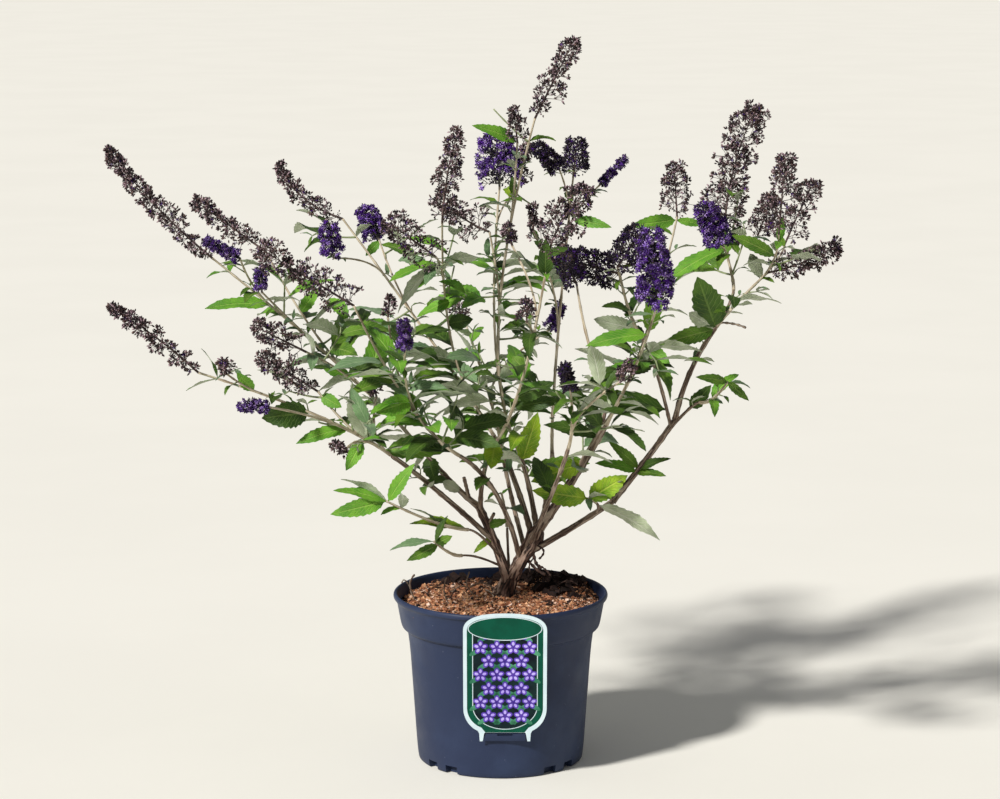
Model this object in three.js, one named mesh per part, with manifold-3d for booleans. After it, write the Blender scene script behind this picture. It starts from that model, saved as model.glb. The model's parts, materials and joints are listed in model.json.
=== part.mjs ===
// A butterfly bush in its nursery pot, with a label plate leaning on the pot's front.
// Millimetres, +Z up. The origin is the middle of the pot's flat underside and the label faces -Y.
//
// Every limb is a tapering tube on a bowed curve that starts on its parent limb. Every mass of foliage
// grows by one seeded rule from a few leading shoots, and keeps to the space that lies nearer its own
// shoots than any other mass's.

import * as THREE from 'three';
import { mergeVertices } from 'three/addons/utils/BufferGeometryUtils.js';
import Module from 'manifold-3d';

const wasm = await Module();
wasm.setup();

// ------------------------------------------------------------------ driving dimensions

const GAP = 0.3; // clearance between neighbouring solids
const FLAT = 0.01; // corners that lie this close to a flat face are left out
const MERGE = 1e-4; // corners that lie this close together are one

const SEED = 1800;
const MASS_SEED_STEP = 1009;
const SHOOT_SEED_STEP = 101;

const POT = {
  height: 182,
  lipRadius: 115,
  lipDepth: 7,
  lipBevel: 1.2,
  lipCrown: 3,
  collarTopRadius: 111.5,
  collarFootRadius: 106.5,
  collarDepth: 37,
  shoulderBevel: 2.5,
  shoulderDrop: 3,
  bodyTopRadius: 98.5,
  baseRadius: 89,
  baseBevel: 2.5,
  wall: 1.8,
  floor: 2.4,
  sides: 32,
};

const NOTCH = { width: 15, height: 9, depth: 16, spread: 9, pairs: 4 };

const SOIL = {
  top: 173,
  flatRadius: 38,
  slopeHeight: 171.6,
  slopeRadius: 64,
  shoulderHeight: 169.6,
  shoulderRadius: 88,
  edge: 167,
  edgeGap: 1.6,
  sideGap: 0.4,
  bump: 1.1,
  bumpsAround: [5, 8],
};

const LABEL = {
  middle: 4.6,
  foot: 43.5,
  footStandoff: 3,
  top: 186,
  halfWidth: 43.5,
  archHeight: 20,
  archSteps: 12,
  tabHalfWidth: 27,
  tabWidth: 5.2,
  tabLength: 9,
  tabRoot: 1,
  slant: 20,
  thickness: 0.9,
};

const POCKET = { height: 9.4, wallSink: 4 };

const TRUNK_FOOT = { x: 5, y: 20, flare: 3.6, flareHeight: 7, lobes: 5, lobeDepth: 0.3, trimBlock: 80 };

// A limb leaves its parent at a fraction of the parent's length and passes its middle on the way to its
// tip. Its radii are at its foot and its tip.
const LIMBS = [
  {
    name: 'trunk',
    middle: [7, 14, 184], tip: [13, 12, 197], radii: [9.5, 8], sides: 12,
  },
  {
    name: 'left_arm', parent: 'trunk', at: 0.5,
    middle: [0, 8, 217], tip: [-24, 5, 275], radii: [5.6, 4], sides: 8,
  },
  {
    name: 'right_arm', parent: 'trunk', at: 0.98,
    middle: [24, 8, 218], tip: [42, 8, 251], radii: [6.6, 6], sides: 8,
  },
  {
    name: 'low_left', parent: 'left_arm', at: 0.55,
    middle: [-66, -22, 295], tip: [-115, -45, 339], radii: [3, 2.3],
  },
  {
    name: 'high_left', parent: 'left_arm', at: 0.98,
    middle: [-49, 15, 294], tip: [-82, 25, 329], radii: [3.2, 2.3],
  },
  {
    name: 'front_mid', parent: 'left_arm', at: 0.93,
    middle: [-17, -26, 318], tip: [-2, -60, 360], radii: [2.6, 2],
  },
  {
    name: 'front_left', parent: 'right_arm', at: 0.3,
    middle: [-4, -45, 296], tip: [-43, -90, 347], radii: [2.8, 2.1],
  },
  {
    name: 'back_left', parent: 'right_arm', at: 0.75,
    middle: [15, 45, 294], tip: [-7, 85, 335], radii: [3.2, 2.5],
  },
  {
    name: 'back_mid', parent: 'right_arm', at: 0.9,
    middle: [29, 40, 295], tip: [17, 62, 329], radii: [3, 2.3],
  },
  {
    name: 'back_right', parent: 'right_arm', at: 0.95,
    middle: [53, 60, 280], tip: [57, 120, 311], radii: [3, 2.3],
  },
  {
    name: 'back_low', parent: 'right_arm', at: 0.5,
    middle: [12, 80, 268], tip: [0, 140, 318], radii: [2.6, 2],
  },
  {
    name: 'front_right', parent: 'right_arm', at: 0.6,
    middle: [54, -70, 304], tip: [69, -130, 362], radii: [2.6, 2],
  },
  {
    name: 'right_mid', parent: 'right_arm', at: 0.98,
    middle: [72, 0, 296], tip: [111, -20, 367], radii: [5.2, 3.6], sides: 8,
  },
  {
    name: 'right_low', parent: 'right_arm', at: 0.5,
    middle: [78, 0, 259], tip: [121, 0, 283], radii: [3.4, 3],
  },
  {
    name: 'right_far', parent: 'right_low', at: 0.98,
    middle: [157, 5, 327], tip: [187, 5, 370], radii: [3.3, 3],
  },
  {
    name: 'right_tall', parent: 'right_far', at: 0.98,
    middle: [201, 5, 419], tip: [228, 0, 468], radii: [2.9, 2.2],
  },
  {
    name: 'right_cross', parent: 'right_far', at: 0.9,
    middle: [162, -40, 428], tip: [145, -60, 467], radii: [1.9, 1.6],
  },
  {
    name: 'right_side', parent: 'right_far', at: 0.78,
    middle: [197, -20, 382], tip: [209, -35, 393], radii: [1.8, 1.5],
  },
  {
    name: 'right_back', parent: 'right_tall', at: 0.9,
    middle: [241, 25, 484], tip: [249, 45, 501], radii: [1.9, 1.6],
  },
  {
    name: 'right_inner', parent: 'right_mid', at: 0.85,
    middle: [112, 15, 382], tip: [107, 30, 410], radii: [2.2, 1.8],
  },
  {
    name: 'elbow_twig', parent: 'right_low', at: 0.8,
    middle: [104, -12, 276], tip: [101, -20, 283], radii: [1.7, 1.4],
  },
  {
    name: 'low_twig', parent: 'left_arm', at: 0.35,
    middle: [-20, -30, 248], tip: [-34, -50, 260], radii: [1.5, 1.2],
  },
  {
    name: 'foot_twig', parent: 'left_arm', at: 0.22,
    middle: [-22, -20, 223], tip: [-41, -45, 231], radii: [1.3, 1.1],
  },
  {
    name: 'sucker', parent: 'trunk', at: 0.7,
    middle: [8, 27, 222], tip: [7, 30, 246], radii: [1.6, 1.3],
  },
];

const LIMB_STEPS = 4;
const LIMB_SIDES = 6;

// The shoots of each mass. A shoot starts at a fraction of an earlier shoot of its mass, or at the tip of
// the bough, and bows away from its parent's direction. A plume of blossom stands on its tip.
const MASSES = {
  low_left: [
    { tip: [-309, -100, 435], plume: [-397, -110, 507], girth: 18 },
    { on: 0, at: 0.25, tip: [-234, -150, 407], plume: [-263, -170, 413], girth: 14, bloom: 'violet' },
    { on: 0, at: 0.2, tip: [-190, -50, 407], plume: [-249, -40, 443], girth: 26 },
    { on: 0, at: 0.1, tip: [-159, -130, 358], plume: [-169, -140, 368], girth: 9 },
  ],
  high_left: [
    { tip: [-307, 40, 536], plume: [-419, 60, 652], girth: 20 },
    { on: 0, at: 0.42, tip: [-256, 120, 533], plume: [-337, 150, 587], girth: 24 },
    { on: 0, at: 0.78, tip: [-272, -20, 543], plume: [-308, -30, 563], girth: 20, bloom: 'violet' },
    { on: 0, at: 0.3, tip: [-201, -70, 452], plume: [-251, -100, 483], girth: 27 },
  ],
  front_left: [
    { tip: [-147, -150, 511], plume: [-236, -170, 569], girth: 34 },
    { on: 0, at: 0.35, tip: [-94, -200, 474], plume: [-95, -215, 504], girth: 15, bloom: 'violet' },
    { on: 0, at: 0.45, tip: [-115, -95, 491], plume: [-113, -90, 511], girth: 10 },
  ],
  front_mid: [
    { tip: [48, -140, 563], plume: [85, -150, 625], girth: 36 },
    { on: 0, at: 0.62, tip: [26, -170, 497], plume: [26, -175, 520], girth: 15 },
  ],
  back_left: [
    { tip: [-190, 190, 554], plume: [-246, 210, 619], girth: 21 },
    { on: 0, at: 0.62, tip: [-143, 240, 537], plume: [-153, 255, 572], girth: 24, bloom: 'violet' },
    { on: 0, at: 0.8, tip: [-183, 130, 525], plume: [-188, 120, 562], girth: 27, bloom: 'violet' },
    { on: 0, at: 0.2, tip: [-65, 40, 532], plume: [-40, 40, 674], girth: 22 },
    { on: 3, at: 0.8, tip: [-78, -20, 548], plume: [-118, -50, 583], girth: 28 },
  ],
  back_mid: [
    { tip: [35, 90, 681], plume: [82, 90, 767], girth: 24 },
    { on: 0, at: 0.5, tip: [-22, 112, 560], plume: [-77, 120, 592], girth: 18 },
    { on: 0, at: 0.72, tip: [18, 70, 657], plume: [14, 60, 692], girth: 18 },
    { on: 0, at: 0.12, tip: [-1, 170, 594], plume: [-4, 180, 653], girth: 42, bloom: 'violet' },
  ],
  back_right: [
    { tip: [81, 230, 590], plume: [86, 240, 639], girth: 30 },
    { on: 0, at: 0.85, tip: [111, 270, 589], plume: [144, 280, 620], girth: 13, bloom: 'violet' },
    { on: 0, at: 0.9, tip: [66, 205, 613], plume: [42, 190, 642], girth: 17 },
    { on: 0, at: 0.55, tip: [36, 150, 554], plume: [36, 145, 581], girth: 10 },
  ],
  back_low: [
    { tip: [-40, 225, 440], plume: [-58, 240, 476], girth: 18 },
    { on: 0, at: 0.4, tip: [55, 235, 430], plume: [70, 245, 458], girth: 16, bloom: 'violet' },
  ],
  front_right: [
    { tip: [68, -225, 438], plume: [61, -240, 467], girth: 15, bloom: 'violet' },
    { on: 0, at: 0.3, tip: [117, -250, 451], plume: [126, -265, 470], girth: 10 },
  ],
  right_mid: [
    { tip: [153, -190, 506], plume: [147, -215, 594], girth: 40, bloom: 'violet' },
    { on: 0, at: 0.25, tip: [194, 110, 559], plume: [190, 140, 624], girth: 25 },
  ],
  right_inner: [
    { tip: [82, 70, 504], plume: [64, 60, 542], girth: 26, bloom: 'dark' },
  ],
  right_cross: [
    { tip: [120, -85, 510], plume: [99, -95, 548], girth: 30, bloom: 'dark' },
    { on: 0, at: 0.6, tip: [119, -120, 541], plume: [136, -130, 577], girth: 26, bloom: 'dark' },
  ],
  right_side: [
    { tip: [234, -80, 422] },
  ],
  right_tall: [
    { tip: [279, -20, 529], plume: [350, -40, 561], girth: 26 },
    { on: 0, at: 0.85, tip: [283, -90, 578], plume: [289, -110, 660], girth: 32 },
    { on: 0, at: 0.9, tip: [310, 60, 553], plume: [340, 80, 615], girth: 28 },
  ],
  right_back: [
    { tip: [244, 70, 543], plume: [278, 90, 695], girth: 36 },
    { on: 0, at: 0.6, tip: [239, -10, 551], plume: [222, -30, 600], girth: 30, bloom: 'violet' },
    { on: 0, at: 0.75, tip: [281, 140, 544], plume: [299, 160, 590], girth: 26 },
  ],
  elbow_twig: [
    { tip: [92, -34, 290] },
    { on: 0, at: 0.3, tip: [128, -38, 300] },
  ],
  low_twig: [
    { tip: [-118, -100, 301] },
  ],
  foot_twig: [
    { tip: [-69, -85, 255] },
  ],
  sucker: [
    { tip: [1, 24, 284] },
  ],
};

const CAPSULES_PER_CURVE = 8;

const SHOOT = {
  footRadius: 2.3,
  tipRadius: 1.3,
  sideShare: 0.8,
  bow: 0.35,
  stepLength: 50,
  minSteps: 2,
  upright: 0.05,
};

const PLUME = { rings: 4, points: 6, dent: 0.62, blunt: 0.35, sink: 4 };

// How deep a plume is pinched in between its whorls, and how much it narrows towards its tip.
const BLOOMS = {
  spent: { waist: 0.6, taper: 0.5 },
  violet: { waist: 0.88, taper: 0.4 },
  dark: { waist: 0.72, taper: 0.3 },
};

// Nodes along a shoot, with a pair of leaves or side twigs at each.
const GROWTH = {
  internode: 58,
  bareFoot: 12,
  lastNode: 0.97,
  longestLeaf: 92,
  shortestLeaf: 30,
  leafSizes: [0.8, 1.15],
  leafSpreads: [0.6, 0.8],
  leafDroop: 0.25,
  leafRoll: 0.9,
  turnJitter: 0.5,
  leastVigour: 0.55,
  leafyVigour: 0.75,
  fullVigourLength: 150,
  rootShare: 0.4,
  lowSideTwigs: 0.27,
  highSideTwigs: 0.06,
  lowestLeaf: 205,
};

const SIDE_TWIG = {
  length: 46,
  rise: 0.2,
  radius: 1,
  leafLength: 58,
  leafSpread: 0.6,
  leafDroop: 0.1,
  nodes: [0.55, 0.94],
  probes: [0.4, 0.7, 1],
};

// A leaf's proportions, as shares of its length. It is widest at its edges and thickest at its ridge.
const LEAF = {
  slenderness: 0.3,
  thickness: 0.026,
  edgeAt: 0.44,
  edgeLift: 0.1,
  ridgeAt: 0.22,
  ridgeLift: 0.045,
  tipDrop: 0.1,
  nearProbe: 0.6,
  farProbes: [0.33, 0.66],
  upright: 0.2,
};

const SPACE_MARGIN = 2.2; // how much nearer its own shoots a leaf lies than any other mass's
const LIMB_MARGIN = 1.6; // how far a leaf or twig keeps from a limb's side
const LEAF_MARGIN = 3.2; // how far leaves keep from each other
const TRIAL_SIZES = [1, 0.8, 0.6]; // a leaf or twig that has no room is tried shorter, then skipped

const UP = new THREE.Vector3(0, 0, 1);
const { lerp, clamp, degToRad } = THREE.MathUtils;

const MATERIALS = {
  pot: new THREE.MeshStandardMaterial({ color: 0x2b3240, roughness: 0.5, metalness: 0 }),
  soil: new THREE.MeshStandardMaterial({ color: 0x6b4a33, roughness: 1, metalness: 0 }),
  label: new THREE.MeshStandardMaterial({ color: 0x1d6b52, roughness: 0.35, metalness: 0 }),
  bark: new THREE.MeshStandardMaterial({ color: 0x6f5f55, roughness: 0.9, metalness: 0 }),
  foliage: new THREE.MeshStandardMaterial({ color: 0x56803c, roughness: 0.7, metalness: 0 }),
};

// ------------------------------------------------------------------ solids and geometry

/** A repeatable stream of numbers from 0 to 1, by a linear congruence. */
function seededStream(seed) {
  const multiplier = 1664525;
  const increment = 1013904223;
  let state = seed >>> 0;
  return () => {
    state = (Math.imul(state, multiplier) + increment) >>> 0;
    return state / 2 ** 32;
  };
}

/** A geometry as a solid, with its shared corners merged and collapsed triangles left out. */
function solidFrom(geometry) {
  geometry.deleteAttribute('normal');
  geometry.deleteAttribute('uv');
  const merged = mergeVertices(geometry, MERGE);
  const index = merged.index.array;
  const triangles = [];
  for (let i = 0; i < index.length; i += 3) {
    const [a, b, c] = index.slice(i, i + 3);
    if (a !== b && b !== c && c !== a) triangles.push(a, b, c);
  }
  return new wasm.Manifold(new wasm.Mesh({
    numProp: 3,
    vertProperties: new Float32Array(merged.attributes.position.array),
    triVerts: new Uint32Array(triangles),
  }));
}

/** A solid as a geometry with flat faces. */
function geometryFrom(solid) {
  const mesh = solid.getMesh();
  const geometry = new THREE.BufferGeometry();
  geometry.setAttribute('position', new THREE.BufferAttribute(mesh.vertProperties, 3));
  geometry.setIndex(new THREE.BufferAttribute(mesh.triVerts, 1));
  geometry.computeVertexNormals();
  return geometry;
}

/** The largest body of a solid: loose scraps that a cut leaves are dropped. */
function largestBody(solid) {
  const bodies = solid.decompose();
  return bodies.reduce((best, body) => (body.volume() > best.volume() ? body : best));
}

/** A closed surface through rings of points, one ring after the other, with a fan over each end. */
function skinOverRings(rings) {
  const sides = rings[0].length;
  const points = rings.flat();
  const index = [];
  for (let ring = 0; ring + 1 < rings.length; ring += 1) {
    for (let side = 0; side < sides; side += 1) {
      const a = ring * sides + side;
      const b = ring * sides + ((side + 1) % sides);
      index.push(a, b, a + sides, b, b + sides, a + sides);
    }
  }
  const last = (rings.length - 1) * sides;
  for (let side = 1; side + 1 < sides; side += 1) {
    index.push(0, side + 1, side);
    index.push(last, last + side, last + side + 1);
  }
  const geometry = new THREE.BufferGeometry().setFromPoints(points);
  geometry.setIndex(index);
  return geometry;
}

/** A tube along a curve. Its radius is a function of the fraction of the way and the angle around. */
function tube(curve, radiusAt, steps, sides) {
  const frames = curve.computeFrenetFrames(steps, false);
  const rings = [];
  for (let step = 0; step <= steps; step += 1) {
    const u = step / steps;
    const centre = curve.getPointAt(u);
    const ring = [];
    for (let side = 0; side < sides; side += 1) {
      const angle = (side / sides) * 2 * Math.PI;
      const radius = radiusAt(u, angle);
      ring.push(centre.clone()
        .addScaledVector(frames.normals[step], radius * Math.cos(angle))
        .addScaledVector(frames.binormals[step], radius * Math.sin(angle)));
    }
    rings.push(ring);
  }
  return skinOverRings(rings);
}

/** A curve from a start to a tip that passes a given middle point. */
function curveThrough(start, middle, tip) {
  const control = middle.clone().multiplyScalar(2)
    .sub(start.clone().add(tip).multiplyScalar(0.5));
  return new THREE.QuadraticBezierCurve3(start, control, tip);
}

/** A curve that sets off along a direction and then bends over to its tip. */
function bowedCurve(start, direction, tip) {
  const reach = start.distanceTo(tip) * SHOOT.bow;
  return new THREE.QuadraticBezierCurve3(start, start.clone().addScaledVector(direction, reach), tip);
}

// ------------------------------------------------------------------ pot, soil and label

/** The radius of the pot's outer wall at a height, below its collar. */
function bodyRadius(height) {
  const top = POT.height - POT.collarDepth;
  return POT.baseRadius + ((POT.bodyTopRadius - POT.baseRadius) * height) / top;
}

/** The pot's outer profile from its underside to its lip, as points of radius and height. */
function outerProfile() {
  const { height, lipRadius, lipDepth, lipBevel, collarTopRadius, collarFootRadius } = POT;
  const shoulder = height - POT.collarDepth;
  return [
    [POT.baseRadius - POT.baseBevel, 0],
    [bodyRadius(POT.baseBevel), POT.baseBevel],
    [POT.bodyTopRadius, shoulder - POT.shoulderDrop],
    [collarFootRadius - POT.shoulderBevel, shoulder],
    [collarFootRadius, shoulder + POT.shoulderBevel],
    [collarTopRadius, height - lipDepth],
    [lipRadius - lipBevel, height - lipDepth + lipBevel],
    [lipRadius, height - POT.lipCrown],
    [lipRadius - lipBevel, height],
  ];
}

/** The pot's inner profile from its lip down to its floor. */
function innerProfile() {
  const { height, collarTopRadius, collarFootRadius, shoulderBevel, wall } = POT;
  const shoulder = height - POT.collarDepth;
  return [
    [collarTopRadius - wall / 3, height],
    [collarTopRadius - wall, height - POT.lipDepth],
    [collarFootRadius - wall, shoulder + shoulderBevel + wall / 2],
    [collarFootRadius - wall - shoulderBevel, shoulder + wall],
    [POT.bodyTopRadius - wall, shoulder - wall],
    [bodyRadius(POT.floor) - wall, POT.floor],
  ];
}

/** A closed turned solid from a profile that starts and ends on the axis. */
function turned(profile) {
  const points = profile.map(([radius, height]) => new THREE.Vector2(radius, height));
  const geometry = new THREE.LatheGeometry(points, POT.sides);
  geometry.rotateX(Math.PI / 2);
  return solidFrom(geometry);
}

/** A box with its middle at a point, turned about the vertical. */
function turnedBox(size, centre, angle) {
  const geometry = new THREE.BoxGeometry(...size);
  geometry.translate(...centre);
  geometry.rotateZ(angle);
  return solidFrom(geometry);
}

/** The plane of the label: how far in front of the axis its back lies at a height. */
function labelStandoff(height) {
  const top = POT.lipRadius + GAP;
  const foot = bodyRadius(LABEL.foot) + LABEL.footStandoff;
  const lipHeight = POT.height - POT.lipCrown;
  return foot + ((top - foot) * (height - LABEL.foot)) / (lipHeight - LABEL.foot);
}

/** The moulded pocket on the pot's front that the label's two tabs straddle. */
function pocketSolid() {
  const halfWidth = LABEL.tabHalfWidth - LABEL.tabWidth - GAP;
  const middleHeight = LABEL.foot + POCKET.height / 2;
  const front = labelStandoff(LABEL.foot) + LABEL.thickness;
  const back = Math.sqrt(bodyRadius(middleHeight) ** 2 - halfWidth ** 2) - POCKET.wallSink / 2;
  return turnedBox(
    [2 * halfWidth, front - back, POCKET.height],
    [LABEL.middle, -(front + back) / 2, middleHeight],
    0,
  );
}

/** The pot: a tapering shell with a collar, a rolled lip, a label pocket and drainage notches. */
function potSolid() {
  const shell = turned([[0, 0], ...outerProfile(), ...innerProfile(), [0, POT.floor]]);
  const inside = turned([[0, POT.floor], ...innerProfile().reverse(), [0, POT.height]]);
  const cuts = [];
  for (let pair = 0; pair < NOTCH.pairs; pair += 1) {
    for (const side of [-1, 1]) {
      const angle = degToRad((pair + 0.5) * (360 / NOTCH.pairs) + side * NOTCH.spread);
      const size = [NOTCH.depth, NOTCH.width, 2 * NOTCH.height];
      cuts.push(turnedBox(size, [POT.baseRadius, 0, 0], angle));
    }
  }
  const notches = wasm.Manifold.union(cuts);
  return shell.add(pocketSolid().subtract(inside)).subtract(notches);
}

/** How much the soil's slope rises or falls at a place. */
function soilBump(radius, angle) {
  const [few, many] = SOIL.bumpsAround;
  return SOIL.bump * (Math.sin(few * angle + radius) + Math.sin(many * angle - radius));
}

/** The soil: it fills the pot a clearance inside its wall, and is heaped a little round the trunk. */
function soilSolid() {
  const side = innerProfile().reverse()
    .map(([radius, height]) => [radius - SOIL.sideGap, height])
    .filter(([, height]) => height < SOIL.edge);
  side[0][1] += GAP;
  const profile = [
    [0, POT.floor + GAP],
    ...side,
    [POT.collarTopRadius - POT.wall - SOIL.edgeGap, SOIL.edge],
    [SOIL.shoulderRadius, SOIL.shoulderHeight],
    [SOIL.slopeRadius, SOIL.slopeHeight],
    [SOIL.flatRadius, SOIL.top],
    [0, SOIL.top],
  ];
  const points = profile.map(([radius, height]) => new THREE.Vector2(radius, height));
  const geometry = new THREE.LatheGeometry(points, POT.sides);
  geometry.rotateX(Math.PI / 2);
  const positions = geometry.attributes.position;
  const onSlope = (radius, height) => height > SOIL.edge && radius > SOIL.flatRadius + GAP;
  for (let i = 0; i < positions.count; i += 1) {
    const radius = Math.hypot(positions.getX(i), positions.getY(i));
    const angle = Math.atan2(positions.getY(i), positions.getX(i));
    const height = positions.getZ(i);
    if (onSlope(radius, height)) positions.setZ(i, height + soilBump(radius, angle));
  }
  return solidFrom(geometry);
}

/** The label: a flat plate with an arched top, its lower corners slanting in to two tabs. */
function labelSolid() {
  const { halfWidth, archHeight, tabHalfWidth, tabWidth, tabLength, slant, thickness } = LABEL;
  const tabRoot = tabLength + LABEL.tabRoot;
  const lean = Math.atan2(labelStandoff(LABEL.top) - labelStandoff(LABEL.foot), LABEL.top - LABEL.foot);
  const height = (LABEL.top - LABEL.foot) / Math.cos(lean);
  const outline = new THREE.Shape();
  outline.moveTo(tabHalfWidth - tabWidth, 0);
  outline.lineTo(tabHalfWidth, 0);
  outline.lineTo(tabHalfWidth, tabLength);
  outline.lineTo(halfWidth, tabLength + slant);
  outline.lineTo(halfWidth, height - archHeight);
  outline.absellipse(0, height - archHeight, halfWidth, archHeight, 0, Math.PI, false);
  outline.lineTo(-halfWidth, tabLength + slant);
  outline.lineTo(-tabHalfWidth, tabLength);
  outline.lineTo(-tabHalfWidth, 0);
  outline.lineTo(tabWidth - tabHalfWidth, 0);
  outline.lineTo(tabWidth - tabHalfWidth, tabRoot);
  outline.lineTo(tabHalfWidth - tabWidth, tabRoot);
  outline.closePath();
  const geometry = new THREE.ExtrudeGeometry(outline, {
    depth: thickness,
    bevelEnabled: false,
    curveSegments: LABEL.archSteps,
  });
  geometry.rotateX(Math.PI / 2 + lean);
  geometry.translate(LABEL.middle, -labelStandoff(LABEL.foot), LABEL.foot);
  return solidFrom(geometry);
}

// ------------------------------------------------------------------ trunk and boughs

/** How much the trunk swells just above the soil, with its roots' lobes around it. */
function rootFlare(heightAboveSoil, angle) {
  const { flare, flareHeight, lobes, lobeDepth } = TRUNK_FOOT;
  const lobe = 1 + lobeDepth * Math.cos(lobes * angle);
  return flare * Math.exp(-heightAboveSoil / flareHeight) * lobe;
}

/** The curve of each limb, worked out from its parent's. */
function limbCurves() {
  const curves = {};
  for (const limb of LIMBS) {
    const start = limb.parent
      ? curves[limb.parent].getPointAt(limb.at)
      : new THREE.Vector3(TRUNK_FOOT.x, TRUNK_FOOT.y, SOIL.top + GAP);
    const middle = new THREE.Vector3(...limb.middle);
    const tip = new THREE.Vector3(...limb.tip);
    curves[limb.name] = curveThrough(start, middle, tip);
  }
  return curves;
}

/** A limb's solid, grown on all sides by a margin. The trunk's foot is flared and cut flat. */
function limbTube(limb, curve, margin) {
  const [foot, tip] = limb.radii;
  const sides = limb.sides ?? LIMB_SIDES;
  const outset = margin / Math.cos(Math.PI / sides);
  const grown = new THREE.QuadraticBezierCurve3(
    curve.v0.clone().addScaledVector(curve.getTangent(0), -margin),
    curve.v1,
    curve.v2.clone().addScaledVector(curve.getTangent(1), margin),
  );
  const radiusAt = (u, angle) => {
    const plain = lerp(foot, tip, u) + outset;
    return limb.parent ? plain : plain + rootFlare(u * curve.getLength(), angle);
  };
  const solid = solidFrom(tube(grown, radiusAt, LIMB_STEPS, sides));
  if (limb.parent) return solid;
  const { x, y, trimBlock } = TRUNK_FOOT;
  const middle = SOIL.top + GAP - trimBlock / 2;
  return solid.subtract(turnedBox([trimBlock, trimBlock, trimBlock], [x, y, middle], 0));
}

/** The trunk and boughs. Each is cut back to a clearance from the limbs made before it. */
function limbSolids(curves) {
  const solids = {};
  const grown = [];
  for (const limb of LIMBS) {
    let solid = limbTube(limb, curves[limb.name], 0);
    if (grown.length) solid = solid.subtract(wasm.Manifold.union(grown));
    solids[limb.name] = largestBody(solid);
    grown.push(limbTube(limb, curves[limb.name], GAP));
  }
  return { solids, grown: wasm.Manifold.union(grown) };
}

// ------------------------------------------------------------------ the space of each mass

/** A capsule: a straight stretch with a radius, for measuring how near a point is to it. */
function capsule(start, end, radius) {
  return { line: new THREE.Line3(start, end), radius };
}

/** Capsules along a curve whose radius tapers. */
function capsulesAlong(curve, foot, tip) {
  const capsules = [];
  for (let i = 0; i < CAPSULES_PER_CURVE; i += 1) {
    const u = i / CAPSULES_PER_CURVE;
    const end = (i + 1) / CAPSULES_PER_CURVE;
    capsules.push(capsule(curve.getPointAt(u), curve.getPointAt(end), lerp(foot, tip, u)));
  }
  return capsules;
}

const nearestOnLine = new THREE.Vector3();

/** The distance from a point to the nearest side of some capsules. */
function distanceTo(point, capsules) {
  let nearest = Infinity;
  for (const { line, radius } of capsules) {
    line.closestPointToPoint(point, true, nearestOnLine);
    nearest = Math.min(nearest, nearestOnLine.distanceTo(point) - radius);
  }
  return nearest;
}

/** The radius of a shoot at a fraction of the way along it. */
function radiusAlong(shoot, u) {
  return lerp(shoot.foot, shoot.tip, u);
}

/** The curve of each shoot of a mass, and the capsules that mark out the mass's own space. */
function massPlan(name, boughCurve) {
  const shoots = [];
  const capsules = [];
  for (const { on, at, tip, plume, girth, bloom = 'spent' } of MASSES[name]) {
    const parent = shoots[on];
    const [from, u] = parent ? [parent.curve, at] : [boughCurve, 1];
    const foot = parent ? SHOOT.sideShare * radiusAlong(parent, at) : SHOOT.footRadius;
    const end = new THREE.Vector3(...tip);
    const curve = bowedCurve(from.getPoint(u), from.getTangent(u), end);
    const shoot = { curve, foot, tip: Math.min(foot, SHOOT.tipRadius) };
    capsules.push(...capsulesAlong(curve, foot, shoot.tip));
    if (plume) {
      shoot.plume = { axis: new THREE.Line3(end, new THREE.Vector3(...plume)), girth, bloom };
      capsules.push(capsule(shoot.plume.axis.start, shoot.plume.axis.end, girth / 2));
    }
    shoots.push(shoot);
  }
  return { name, shoots, capsules };
}

// ------------------------------------------------------------------ leaves, twigs and plumes

/** The points that outline a leaf: its sunk root, its two edges, its ridge, its keel and its tip. */
function leafPoints({ foot, direction, root }, length, roll) {
  const side = new THREE.Vector3().crossVectors(direction, UP);
  if (side.length() < LEAF.upright) side.set(1, 0, 0);
  side.normalize().applyAxisAngle(direction, roll);
  const lift = new THREE.Vector3().crossVectors(side, direction).normalize();
  const halfWidth = LEAF.slenderness / 2;
  const halfThickness = LEAF.thickness / 2;
  const place = (along, across, above) => foot.clone()
    .addScaledVector(direction, along * length)
    .addScaledVector(side, across * length)
    .addScaledVector(lift, above * length);
  return {
    foot: place(-root / length, 0, 0),
    left: place(LEAF.edgeAt, halfWidth, LEAF.edgeLift),
    right: place(LEAF.edgeAt, -halfWidth, LEAF.edgeLift),
    ridge: place(LEAF.ridgeAt, 0, LEAF.ridgeLift + halfThickness),
    keel: place(LEAF.ridgeAt, 0, LEAF.ridgeLift - halfThickness),
    tip: place(1, 0, -LEAF.tipDrop),
  };
}

/** Points over a leaf, for testing whether it has room. */
function leafProbes({ foot, left, right, ridge, tip }) {
  const rim = [left, right, ridge];
  const between = (a, b, u) => a.clone().lerp(b, u);
  const near = rim.map((point) => between(foot, point, LEAF.nearProbe));
  const far = LEAF.farProbes.flatMap((u) => rim.map((point) => between(point, tip, u)));
  return [...rim, tip, ...near, ...far];
}

/** A leaf's solid: two pyramids of four faces, base to base, folded up a little along the midrib. */
function leafSolid({ foot, left, right, ridge, keel, tip }) {
  const rim = [left, ridge, right, keel];
  const points = [foot, ...rim, tip];
  const last = points.length - 1;
  const index = [];
  for (let i = 0; i < rim.length; i += 1) {
    const a = 1 + i;
    const b = 1 + ((i + 1) % rim.length);
    index.push(0, a, b, last, b, a);
  }
  const geometry = new THREE.BufferGeometry().setFromPoints(points);
  geometry.setIndex(index);
  return solidFrom(geometry);
}

/** A three-sided twig along its curve. */
function twigSolid(twig) {
  const steps = Math.max(SHOOT.minSteps, Math.round(twig.curve.getLength() / SHOOT.stepLength));
  return solidFrom(tube(twig.curve, (u) => radiusAlong(twig, u), steps, 3));
}

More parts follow.
